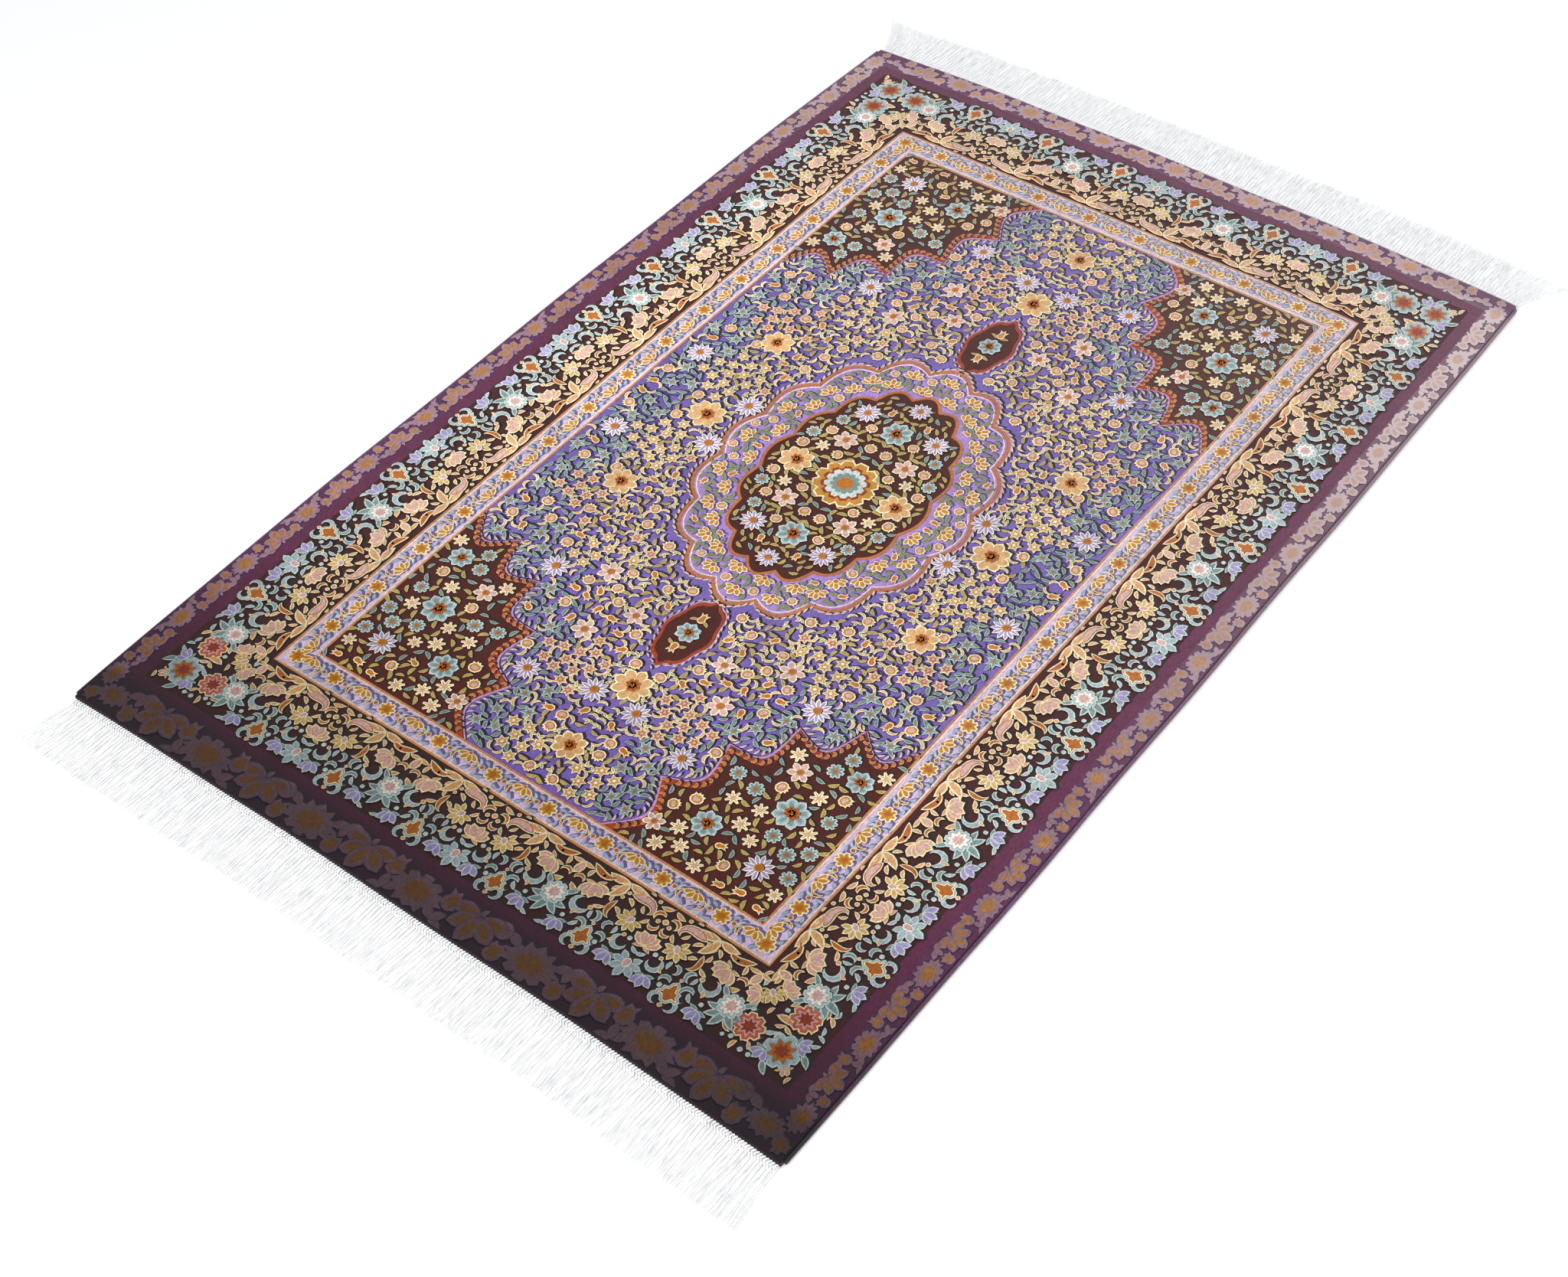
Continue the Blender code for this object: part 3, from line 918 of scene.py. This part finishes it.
figure("orange_head", mirrored([
    (0, -8), (2.8, -7), (4.4, -4.4), (7.8, -4.6), (9, -1.6), (6.6, 0.4), (6.8, 3.2), (4, 4),
    (3.2, 7.2), (0, 10),
]), [("ice", 0.9), ("teal", 0.5), ("cream", 0.8)], "orange")
bud_half = [(0, -3.4), (2.2, -2), (2.4, 0.8), (1.2, 3), (0, 3.8)]
figure("bud_heart", mirrored(bud_half), [("white", 0.7)], "pink")
bloom("ice_palmette", fan("ice_leaf", 5, 66, 3, 1.2, 0.12) + [
    ("ice_leaf", 4, -3, -118, 0.8), ("ice_leaf_m", -4, -3, 118, 0.8), ("ice_head", 0, 0, 0, 1),
])
bloom("ice_star", fan("ice_petal", 7, 128, 0, 1.1, 0.2) + [("bud_heart", 0, 0, 0, 1)])
bloom("ice_half_palmette", [
    ("ice_crescent", 1.5, -4, -50, 0.66), ("ice_crescent_m", -1.5, -4, 50, 0.66),
    ("cream_bead", 0, -9.5, 0, 1), ("orange_head", 0, 0, 0, 1), ("cream_bead", 0, 11.5, 0, 0.8),
])
bloom("ice_scroll", [
    ("ice_crescent", 0, 0, 0, 1), ("cream_bead", 0, -1.2, 0, 1.2), ("cream_tip", 5, 8.6, -160, 0.9),
], both_hands=True)
bloom("violet_cup", fan("ice_leaf", 2, 74, -5, 0.6) + fan("lilac_petal", 3, 34, -5, 1.2))
bloom("pink_tulip", fan("cream_leaf", 2, 84, -6, 0.55) + fan("cream_petal", 5, 46, -6, 1.14))
bloom("straw_lily", fan("straw_petal", 7, 120, 0, 1.05, 0.1) + [("bud_heart", 0, 0, 0, 0.9)])
bloom("cream_bud", fan("cream_leaf", 2, 60, -4, 0.55) + [("cream_petal", -0.6, -4.4, 0, 0.9)])
bloom("cream_spur", fan("cream_leaf", 3, 64, 0, 1.2, 0.1))
bloom("cream_boteh", [
    ("boteh", 0, 0, 0, 1), ("cream_tip", 0.4, 6, 30, 0.6), ("cream_tip", 1, 13, -10, 0.6),
    ("cream_tip", -5.6, 3.4, 30, 0.7), ("cream_tip", -5.6, 15, 10, 0.7), ("cream_bead", 0, -1.8, 0, 1),
], both_hands=True)
coral_rings = [("cream", 0.9), ("coral", 1.9), ("pink", -0.72)]
ice_rings = [("ice", 0.9), ("mist", 2.2), ("teal", 0.5), ("orange", -0.6)]
figure("coral_rosette", petals(8, 10.5, 0.8, 0.26), coral_rings, "rust")
figure("ice_big_rosette", petals(8, 12.5, 0.82, 0.26), ice_rings, "rust")
border_chart = [
    ("ice_palmette", 0, 36.5, 0, 1.12),
    ("cream_bud", 0, 12, 0, 1.35),
    ("cream_leaf", 3, 24, -40, 0.9),
    ("cream_horn", 6, 3.5, -58, 0.95),
    ("pink_tulip", 19.5, 22, -24, 1.12),
    ("ice_scroll_m", 26, 33.5, 12, 0.92),
    ("violet_cup", 15.5, 55.5, -12, 1.0),
    ("ice_half_palmette", 36, 52, 180, 1.0),
    ("cream_spur", 35, 3, 0, 1.25),
    ("cream_boteh_m", 41, 9.5, -104, 0.86),
    ("cream_horn", 37, 18, 20, 0.72),
    ("straw_lily", 53, 25, 35, 1.08),
    ("ice_scroll", 56, 36, 60, 0.78),
    ("violet_cup", 56.5, 55.5, 12, 1.0),
    ("ice_star", 72, 50.5, 0, 1.15),
    ("pink_tulip", 72, 29.5, 180, 1.08),
    ("cream_bead", 72, 13.5, 0, 1.3),
    ("cream_leaf_m", 71, 2.8, 50, 0.8),
]


def by_side(endings, scales, room):
    """Figures for fill, in ice blue on the border's outer side and in cream on its inner side."""
    return lambda x, y: ([("ice" if y > COOL_FROM else "cream") + end for end in endings], scales, room)


border_size = (BORDER_UNIT, BORDER)
hooks = by_side(("_hook", "_hook_m"), (0.9, 1.1), 8.4)
tips = by_side(("_tip", "_tip_m", "_bead"), (0.85, 1.05), 6.2)
border_chart = fill(border_chart, border_size, (3.4, 4.6, 3.6), hooks, gap=4.2, seed=5)
border_chart = fill(border_chart, border_size, (2, 3, 2), tips, gap=2.8, seed=6)
border_places = run(border_chart, BORDER_UNIT, "guard")
# The corners, drawn as the far right one and the same on both sides of its diagonal: first the far
# pair, then the near pair, whose small rosettes are coral.
for up, small, seed in ((1, "ice_big_rosette", 6), (-1, "coral_rosette", 7)):
    half = [
        (small, 17, 41, -20, 1.0),
        ("violet_cup", 33, 52, 10, 0.9),
        ("cream_leaf", 25, 25, 20, 1.2),
        ("pink_tulip", 5, 22, 60, 0.9),
        ("cream_bud", 52, 54, -45, 0.7),
        ("ice_leaf", 37, 53, -25, 1.0),
        ("cream_horn", 4, 36, 10, 0.8),
    ]
    corner = [("ice_big_rosette", 43, 43, -45, 1.0), ("straw_lily", 14, 14, -45, 1.0), *half]
    corner += [(other_hand(name), y, x, -90 - turn, size) for name, x, y, turn, size in half]
    corner_kinds = (("cream_tip", "ice_tip", "ice_bead"), (0.8, 1.1), 5.2)
    corner = fill(corner, (BORDER, BORDER), (3, 3, 3), corner_kinds, gap=2.4, seed=seed)
    at_x, at_y = LIMITS["guard"][0], LIMITS["guard"][2] - MIDDLE
    corner = [(name, at_x + x, at_y + y, turn, size) for name, x, y, turn, size in corner]
    border_places += quarters(corner, over=((1, up), (-1, up)))
spread("border_figures", border_places, "black")

# ----------------------------------------------------------
# Inner guard: gold tulips and roses in turn on pale lavender, in blue-grey scrolling leaves, with a
# fine orange and a fine cream line along both its edges.
GUARD_UNIT = 23.0
LINE_FLATNESS = 0.42
LINE_STEP = 14
# The second is the dark silk of the figures' sloping sides here: a woven outline and painted shade in one.
dyes({
    "scroll_blue": "#8b9cbd", "guard_shade": "#65577f", "amber": "#b8701f", "line_orange": "#bf7f4d",
}, painted_near_shade=0.4, painted_right_light=0.25, painted_left_sheen=0.16)


def lines(name, paths, width, silk_name, closed=True, lift=0.16):
    """Flat raised lines of long knots along paths of points in mm."""
    z = PILE_TOP + lift
    paths = [[(x, y, z) for x, y in path] for path in paths]
    piece = cords(name, paths, width / 2, silk_of[silk_name], closed)
    stretch_up(LINE_FLATNESS, z * MM)
    finish_piece(piece, name)


def square_path(limit, out):
    """A path round the rug, a distance outside a band's inner limit."""
    half, near, far = LIMITS[limit]
    half, near, far = half + out, near - out, far + out
    corners = [(-half, near), (half, near), (half, far), (-half, far)]
    path = []
    for (x0, y0), (x1, y1) in zip(corners, corners[1:] + corners[:1]):
        steps = max(2, int(math.hypot(x1 - x0, y1 - y0) / LINE_STEP))
        path += [(x0 + (x1 - x0) * i / steps, y0 + (y1 - y0) * i / steps) for i in range(steps)]
    return path


lines("guard_orange_lines", [square_path("field", 0.4), square_path("guard", 0)], 1.4, "line_orange")
lines("guard_cream_lines", [square_path("field", 2.2), square_path("guard", -1.8)], 1.1, "cream")
leafy("gold_petal", curl(8.6, 4.4, 24, 4, 0.55), [("cream", 0.8)], "gold")
leafy("gold_curl", curl(15, 3.6, 170, 6, 0.45), [("cream", 0.8)], "gold")
leafy("blue_curl", curl(15, 3, 190, 6, 0.45), [("scroll_blue", 0.6)], "ice")
leafy("blue_leaf", centred(curl(8, 3.2, 70, 4)), [("scroll_blue", 0.6)], "mist")
figure("gold_heart", petals(4, 2.2, 0.9), [("cream", 0.5)], "orange")
figure("gold_rose", petals(7, 6.6, 0.74, 0.25), [("cream", 1.0), ("gold", -0.5)], "orange")
bloom("gold_tulip", fan("gold_petal", 4, 52, -5, 1.1) + [("gold_heart", 0, -4.6, 0, 0.8)])
guard_chart = fill([
    ("gold_tulip", 0, 10.8, 0, 1.0),
    ("gold_rose", 23, 11, 0, 1.0),
    ("gold_curl", 6.5, 16.6, -100, 0.78),
    ("blue_curl_m", 7, 6, -95, 0.85),
    ("gold_heart", 13.6, 11, -80, 1.0),
], (GUARD_UNIT, GUARD), (1, 4.8, 4.4), (("blue_leaf", "blue_leaf_m"), 0.75, 4.8), gap=2.0, seed=8)
guard_places = run(guard_chart, GUARD_UNIT, "field")
guard_x, guard_y = LIMITS["field"][0] + GUARD / 2, LIMITS["field"][2] - MIDDLE + GUARD / 2
guard_places += quarters([
    ("gold_rose", guard_x, guard_y, -45, 1.05),
    ("blue_leaf", guard_x + 6, guard_y - 6, -100, 0.8),
    ("blue_leaf_m", guard_x - 6, guard_y + 6, 10, 0.8),
])
spread("guard_figures", guard_places, "guard_shade")

# ----------------------------------------------------------
# Field grounds: on the violet field lie a lobed medallion, a pointed pendant at each end of it and a
# scalloped piece in each corner, in other colours and with knotted edges. They are sheared level.
FIELD_HALF = LIMITS["field"][0]
FIELD_REACH = LIMITS["field"][2] - MIDDLE
CORNER_PIECE = (128.0, 168.0)
CORNER_STEPS = 80
MEDALLION = (100.0, 142.0)
MEDALLION_STEPS = 192
RING_WIDTH = 34.0
PENDANT = (19.0, 36.0)
PENDANT_STEPS = 40
PENDANT_Y = MEDALLION[1] + PENDANT[1] + 1
dyes({"lilac_line": "#b48fb4", "rust_band": "#9a3a19", "brown": "#47180f", "ring_lavender": "#a383c4"})
# The first two are the dark silks of the figures' sloping sides, mostly on violet and on the lavender ring:
# woven outlines and painted shade in one.
dyes({"navy": "#1b1123", "ring_shade": "#4b3a8c", "hook_orange": "#b5642a", "edge_orange": "#b56c34"})


def corner_scallop(angle):
    return 1 - 0.13 * abs(math.sin(10 * angle))


def medallion_lobe(angle):
    return 1 - 0.075 * (1 - abs(math.cos(8 * angle)))


def pendant_lobe(angle):
    return 1 - 0.12 * (1 - abs(math.cos(4 * angle)))


def oval(across, along, lobe, angles, point=0.0):
    """Points of an oval whose edge is waved by lobe(angle). point above zero draws its ends out."""
    points = []
    for angle in angles:
        c, s = polar(1, angle)
        points.append((across * lobe(angle) * c * abs(c) ** point, along * lobe(angle) * s))
    return points


def corner_path(shrink):
    """The scalloped edge of the far right corner piece, from the far side to the right side."""
    angles = [math.pi / 2 * i / CORNER_STEPS for i in range(CORNER_STEPS + 1)]
    edge = oval(CORNER_PIECE[0] - shrink, CORNER_PIECE[1] - shrink, corner_scallop, angles)
    return [(FIELD_HALF - x, FIELD_REACH - y) for x, y in edge]


def corner_outline(shrink):
    edge = corner_path(shrink)
    side = [(FIELD_HALF, edge[-1][1] + (FIELD_REACH - edge[-1][1]) * i / 12) for i in range(1, 12)]
    end = [(FIELD_HALF + (edge[0][0] - FIELD_HALF) * i / 10, FIELD_REACH) for i in range(10)]
    return edge + side + end


def medallion_outline(shrink):
    angles = [2 * math.pi * i / MEDALLION_STEPS for i in range(MEDALLION_STEPS)]
    return oval(MEDALLION[0] - shrink, MEDALLION[1] - shrink, medallion_lobe, angles)


def pendant_outline(shrink):
    angles = [2 * math.pi * i / PENDANT_STEPS for i in range(PENDANT_STEPS)]
    return oval(PENDANT[0] - shrink, PENDANT[1] - 1.5 * shrink, pendant_lobe, angles, point=0.35)


def within(x, y, lobe, size, middle, margin):
    """Whether a place is inside an oval with a waved edge, with a margin in mm."""
    across, along = (x - middle[0]) / size[0], (y - middle[1]) / size[1]
    angle = math.atan2(abs(along), abs(across))
    return math.hypot(across, along) < lobe(angle) - margin / min(size)


def in_corner(x, y, margin):
    return within(x, y, corner_scallop, CORNER_PIECE, (FIELD_HALF, FIELD_REACH), margin)


def in_medallion(x, y, margin):
    return within(x, y, medallion_lobe, MEDALLION, (0, 0), margin)


def in_core(x, y, margin):
    size = (MEDALLION[0] - RING_WIDTH, MEDALLION[1] - RING_WIDTH)
    return within(x, y, medallion_lobe, size, (0, 0), margin)


def in_pendant(x, y, margin):
    return within(x, y, lambda angle: 0.93, PENDANT, (0, PENDANT_Y), margin)


grounds = []
for kind, outline, layers, spots in (
    ("corner", corner_outline, (
        ("line", -2.2, "lilac_line"), ("band", 0, "rust_band"), ("ground", 7, "brown"),
    ), (("", 0, 0), ("", 0, 180), ("_m", 0, 0), ("_m", 0, 180))),
    ("medallion", medallion_outline, (
        ("line", -3.6, "lilac_line"), ("ring", 0, "ring_lavender"), ("core", RING_WIDTH, "brown"),
    ), (("", 0, 0),)),
    ("pendant", pendant_outline, (
        ("line", -1.6, "lilac_line"), ("band", 0, "rust_band"), ("ground", 2.4, "brown"),
    ), (("", PENDANT_Y, 0), ("", -PENDANT_Y, 0))),
):
    for (layer, shrink, dyed), lift in zip(layers, (0.06, 0.1, 0.14)):
        name = f"{kind}_{layer}"
        figure(name, outline(shrink), [], dyed, ROOT + lift, both_hands=kind == "corner")
        grounds += [(name + hand, 0, MIDDLE + y, turn, 1) for hand, y, turn in spots]
spread("field_grounds", grounds, "navy")

# ----------------------------------------------------------
# Knotted edges: orange hooks on the rust bands, pale ticks like a feather's barbs on the violet
# outside them, and orange and cream lines along the medallion's ring.
leafy("hook", curl(6.6, 2.6, 190, 5, 0.4), [("peach", 0.45)], "hook_orange")
leafy("tick", curl(5.6, 1.6, 35, 3), [("cream", 0.4)], "lilac_line", 0.5)


def walk(path, pitch, start=0.5):
    """Places at even steps along a path, with the heading of the path there in degrees."""
    steps = [math.hypot(x1 - x0, y1 - y0) for (x0, y0), (x1, y1) in zip(path, path[1:])]
    reached = np.concatenate([[0], np.cumsum(steps)])
    count = max(1, round(reached[-1] / pitch))
    places = []
    for i in range(count):
        at = (i + start) * reached[-1] / count
        k = min(int(np.searchsorted(reached, at, "right")) - 1, len(steps) - 1)
        share = (at - reached[k]) / steps[k]
        (x0, y0), (x1, y1) = path[k], path[k + 1]
        heading = math.degrees(math.atan2(y1 - y0, x1 - x0))
        places.append((x0 + (x1 - x0) * share, y0 + (y1 - y0) * share, heading))
    return places


edge_places = [("hook", x, y, way - 60, 0.95) for x, y, way in walk(corner_path(5.2), 5.6)]
edge_places += [("tick", x, y, way - 130, 1.0) for x, y, way in walk(corner_path(-3.2), 5.4)]
edge_places = quarters(edge_places)
for rim, pitch, middle, turn, size in (
    (medallion_outline(-4.6), 5.6, 0, -50, 1.0),
    (pendant_outline(-2.4), 6, PENDANT_Y, -60, 0.8),
    (pendant_outline(-2.4), 6, -PENDANT_Y, -60, 0.8),
):
    for x, y, heading in walk(rim + rim[:1], pitch):
        edge_places.append(("tick", x, y + MIDDLE + middle, heading + turn, size))
spread("knotted_edges", edge_places, "navy")
for name, shrinks, width, dyed in (
    ("medallion_edges", (0, RING_WIDTH), 2.6, "edge_orange"),
    ("medallion_inner_line", (3.2,), 1.0, "cream"),
):
    rings = [[(x, y + MIDDLE) for x, y in medallion_outline(shrink)] for shrink in shrinks]
    lines(name, rings, width, dyed)

# ----------------------------------------------------------
# Field stems and flowers: scrolling stems in dark lavender carry roses and buds, with bunches of
# small blossoms and large daisies between them, and teal stars towards the sides and corner pieces.
BLOSSOM_PITCH = 6.6
ROSE_PITCH = 11.5
ROSE_REACH = 5.5
COOL_RIM = 40
SCROLL_DEPTH = 0.66
GOLDEN_ANGLE = 2.39996
dyes({"bright_cream": "#efdfba", "olive": "#9c9254", "stem": "#3f3170"})
gold_rings = [("bright_cream", 0.6), ("straw", -0.56), ("amber", -0.62)]
pink_rings = [("bright_cream", 0.6), ("peach", -0.56), ("rust", -0.62)]
figure("blossom", petals(6, 6.2, 0.56), gold_rings, "white")
figure("pink_blossom", petals(6, 6.2, 0.56), pink_rings, "pink")
figure("teal_star", petals(6, 6.8, 0.46), [("ice", 0.7), ("teal", -0.4)], "orange")
figure("rose", mirrored([
    (0, -5), (2.6, -4.6), (4.6, -2.4), (5, 0.2), (4, 1.6), (4.2, 3.8), (2, 3.2), (1.2, 5.2), (0, 3.8),
]), [("bright_cream", 0.9), ("gold", 1.3)], "pink")
figure("rosebud", mirrored([
    (0, -5), (2.2, -4), (3, -1.4), (2.2, 1), (3.6, 4.6), (1.2, 3.2), (0, 5.6),
]), [("bright_cream", 0.8)], "amber")
leafy("daisy_petal", curl(12, 3.8, 0, 4, 0.65), [("white", 0.8)], "lilac")
leafy("broad_petal", curl(16, 10, 0, 5, 0.62), [("bright_cream", 1.2), ("straw", 1.2)], "peach")
leafy("pink_petal", curl(10, 6, 0, 4, 0.62), [("bright_cream", 0.9)], "pink")
figure("daisy_heart", petals(5, 3.7, 0.92), [("gold", 0.7)], "orange")
figure("rust_heart", petals(8, 6, 0.8, 0.2), [("orange", 1.2), ("rust", 1.6)], "gold")
bloom("daisy", wheel("daisy_petal", 12, "daisy_heart", 1))
bloom("great_flower", wheel("broad_petal", 8, "rust_heart", 1))
bloom("pink_flower", wheel("pink_petal", 6, "daisy_heart", 0.8))
leafy("olive_leaf", centred(curl(9, 3.4, 70, 4)), [("straw", 0.6)], "olive")
leafy("olive_tip", curl(6, 2.8, 20, 3), [("bright_cream", 0.6)], "olive")
leafy("pale_crescent", centred(curl(12, 2.8, 150, 5, 0.6)), [("cream", 0.7)], "straw")
leafy("teal_leaf", centred(curl(9, 3.4, 60, 4)), [("mist", 0.6)], "sage")
bloom("olive_tuft", fan("olive_tip", 3, 55, -2.4, 1.0, 0.1))


def in_field(x, y, margin):
    """Whether a place lies on the violet ground, that far from its edges and from both mirror lines."""
    inside = margin < x < FIELD_HALF - margin and margin < y < FIELD_REACH - margin
    on_corner_piece = in_corner(x, y, -margin - 4)
    on_medallion = in_medallion(x, y, -margin - 5) or in_pendant(x, y, -margin - 3)
    return inside and not on_corner_piece and not on_medallion


def spiral(x, y, radius, start, way, turns=1.15, steps=30):
    """A scroll that winds in on (x, y) from a point at radius, in the direction start in degrees."""
    path = []
    for i in range(steps + 1):
        angle = math.radians(start) + way * 2 * math.pi * turns * i / steps
        path.append(polar(radius * (1 - SCROLL_DEPTH * i / steps), angle, x, y))
    return path


big_flowers = [
    ("great_flower", 124, 0, 0, 0.95),
    ("daisy", 104, 24, 0, 0.95),
    ("daisy", 170, 50, 0, 0.9),
    ("great_flower", 130, 92, 10, 0.85),
    ("pink_flower", 78, 166, 20, 1.0),
    ("daisy", 112, 184, 0, 0.9),
    ("great_flower", 0, 238, 0, 0.95),
    ("daisy", 18, 256, 0, 0.9),
    ("pink_flower", 58, 218, 0, 1.0),
    ("daisy", 66, 268, 0, 0.85),
    ("great_flower", 0, 302, 0, 0.8),
    ("pink_flower", 38, 188, 0, 0.9),
]
field_chart = list(big_flowers)
bunches = [(134, 44, 26), (146, 112, 20), (92, 160, 24), (46, 246, 27), (30, 316, 17)]
for bunch, (x, y, radius) in enumerate(bunches):
    for k in range(round((radius / BLOSSOM_PITCH) ** 2)):
        at = polar(BLOSSOM_PITCH * math.sqrt(k + 0.4), k * GOLDEN_ANGLE, x, y)
        near_big = any(math.dist(at, place[1:3]) < 15 for place in big_flowers)
        if in_field(*at, 6) and not near_big:
            field_chart.append((("blossom", "pink_blossom")[bunch % 2], *at, 15 * k, 0.94))
stems = []
for scroll in (
    (164, 16, 20, 100, 1), (112, 70, 17, 250, -1), (160, 76, 17, 60, 1), (122, 146, 19, 20, -1),
    (66, 196, 19, 300, 1), (88, 232, 18, 200, -1), (14, 210, 16, 120, 1), (80, 286, 19, 80, -1),
    (12, 280, 17, 320, 1), (160, 150, 16, 250, -1),
):
    stem = spiral(*scroll)
    if all(in_field(x, y, 1) for x, y in stem):
        stems.append(stem)
    for k, (x, y, heading) in enumerate(walk(stem, ROSE_PITCH, 0.3)):
        out = math.radians(heading) - scroll[4] * math.pi / 2
        x, y = polar(ROSE_REACH, out, x, y)
        clear = all(
            math.hypot(place[1] - x, place[2] - y) >= (11.5 if "blossom" in place[0] else 15)
            for place in field_chart
        )
        if clear and in_field(x, y, 4):
            field_chart.append((("rose", "rosebud")[k % 2], x, y, math.degrees(out) - 90, 0.95))


def cool(x, y):
    """Whether a place is in the field's cooler rim, along its sides and round the corner pieces."""
    return in_corner(x, y, -COOL_RIM) or x > FIELD_HALF - COOL_RIM


def field_flower(x, y):
    if cool(x, y):
        return "teal_star", (0.9, 1.05), 14
    return ("rosebud", "rose", "pink_blossom"), (0.85, 0.95), 14.5


def field_leaf(x, y):
    names = ["olive_leaf", "olive_leaf_m", "olive_tuft", "olive_tuft", "pale_crescent", "pale_crescent_m"]
    if cool(x, y):
        names = ["teal_leaf", "teal_leaf_m"] * 3 + ["pale_crescent", "pale_crescent_m"]
    return names, (0.8, 1.0), 5.7


quarter = (FIELD_HALF, FIELD_REACH)
field_chart = fill(field_chart, quarter, 6.5, field_flower, 6.9, 21, in_field)
flower_count = len(field_chart)
field_chart = fill(field_chart, quarter, 3, field_leaf, 2.4, 22, in_field)
spread("field_flowers", quarters(field_chart[:flower_count]), "navy")
spread("field_leaves", quarters(field_chart[flower_count:]), "navy")
stems = [[(r * x, MIDDLE + u * y) for x, y in stem] for stem in stems for r in (1, -1) for u in (1, -1)]
lines("field_stems", stems, 1.3, "stem", closed=False, lift=0.1)

# ----------------------------------------------------------
# Corner piece flowers: on brown, teal rosettes among cream and teal stars and gold buds.
figure("cream_star", petals(7, 6.4, 0.5, 0.16), [("bright_cream", 0.85), ("straw", -0.5)], "pink")
figure("teal_blossom", petals(8, 6.2, 0.72, 0.24), [("ice", 0.85), ("teal", -0.45)], "orange")
leafy("teal_petal", curl(13, 8.4, 0, 5, 0.62), [("ice", 1.0), ("mist", 1.4)], "teal")
bloom("rust_rosette", wheel("teal_petal", 8, "rust_heart", 0.95))
on_brown = ("cream_star", "teal_blossom", "rosebud", "rose")
brown_leaves = ("olive_leaf", "olive_leaf_m", "teal_leaf")
corner_flowers = [
    ("rust_rosette", 150, 262, -35, 1.0),
    ("rust_rosette", 112, 300, -20, 0.85),
    ("rust_rosette", 170, 216, -50, 0.75),
    ("daisy", 160, 308, -45, 0.9),
    ("pink_flower", 134, 232, 0, 0.9),
    ("pink_flower", 84, 318, 0, 0.8),
]


def on_corner(x, y, margin):
    return margin < FIELD_HALF - x and margin < FIELD_REACH - y and in_corner(x, y, margin + 9)


corner_flowers = fill(corner_flowers, quarter, 5.5, (on_brown, (0.85, 1.0), 14), 6.8, 31, on_corner)
corner_flowers = fill(corner_flowers, quarter, 1.8, (brown_leaves, (0.8, 1.0), 6.6), 3.0, 32, on_corner)
spread("corner_piece_flowers", quarters(corner_flowers), "black")

# ----------------------------------------------------------
# Medallion flowers: gold roses in grey-green leaves on the lavender ring, and on its brown heart one
# great rosette with blossoms all round it. The pendants carry a rosette each.
leafy("ring_petal", curl(9.6, 5, 18, 4, 0.6), [("bright_cream", 0.85)], "gold")
leafy("sage_leaf", centred(curl(10, 4.2, 55)), [("olive", 0.7)], "sage")
bloom("ring_rose", fan("ring_petal", 5, 70, -4, 1.0, 0.1) + [("gold_heart", 0, -3.4, 0, 1.2)])
figure("great_rosette", petals(12, 24, 0.86, 0.28), [
    ("bright_cream", 1.2), ("gold", -0.78), ("rust", -0.86), ("ice", -0.7), ("teal", -0.6),
], "amber")
ring_flowers = []
for k in range(11):
    angle = math.pi / 2 * k / 10
    inset = RING_WIDTH / 2 + (6 if k % 2 else -5)
    x, y = oval(MEDALLION[0] - inset, MEDALLION[1] - inset, medallion_lobe, [angle])[0]
    ring_flowers.append(("ring_rose", x, y, math.degrees(angle) - 90, 1.0))


def on_ring(x, y, margin):
    return min(x, y) > margin and in_medallion(x, y, margin + 3) and not in_core(x, y, -margin - 2.5)


def on_core(x, y, margin):
    return min(x, y) > margin and in_core(x, y, margin + 2.5)


ring_buds = (("rosebud", "rose"), (0.7, 0.85), 10)
ring_leaves = (("sage_leaf", "sage_leaf_m"), (0.65, 0.9), 4.6)
ring_flowers = fill(ring_flowers, quarter, 4, ring_buds, 5.4, 41, on_ring)
ring_flowers = fill(ring_flowers, quarter, 2, ring_leaves, 2.2, 42, on_ring)
core_flowers = [
    ("great_rosette", 0, 0, 0, 1.0),
    ("rust_rosette", 0, 62, 0, 0.95),
    ("great_flower", 43, 0, 0, 0.85),
    ("pink_flower", 26, 36, 20, 1.0),
    ("daisy", 30, 68, 0, 0.85),
    ("daisy", 0, 91, 0, 0.75),
]
core_flowers = fill(core_flowers, quarter, 5.5, (on_brown, (0.85, 1.0), 13), 6.5, 43, on_core)
core_flowers = fill(core_flowers, quarter, 2, (brown_leaves, (0.75, 1.0), 5.8), 2.6, 44, on_core)
pendant_places = [
    (name, x, MIDDLE + way * (PENDANT_Y + y), turn + (0 if way > 0 else 180), size)
    for name, x, y, turn, size in (
        ("rust_rosette", 0, 0, 0, 0.72),
        ("rosebud", 0, 16, 0, 1.0),
        ("rosebud", 0, -16, 180, 1.0),
        ("olive_leaf", 4.5, 12.5, -30, 0.8),
        ("olive_leaf_m", -4.5, 12.5, 30, 0.8),
        ("olive_leaf_m", 4.5, -12.5, 210, 0.8),
        ("olive_leaf", -4.5, -12.5, 150, 0.8),
    )
    for way in (1, -1)
]
spread("ring_flowers", quarters(ring_flowers), "ring_shade")
spread("medallion_heart_flowers", quarters(core_flowers) + pendant_places, "black")
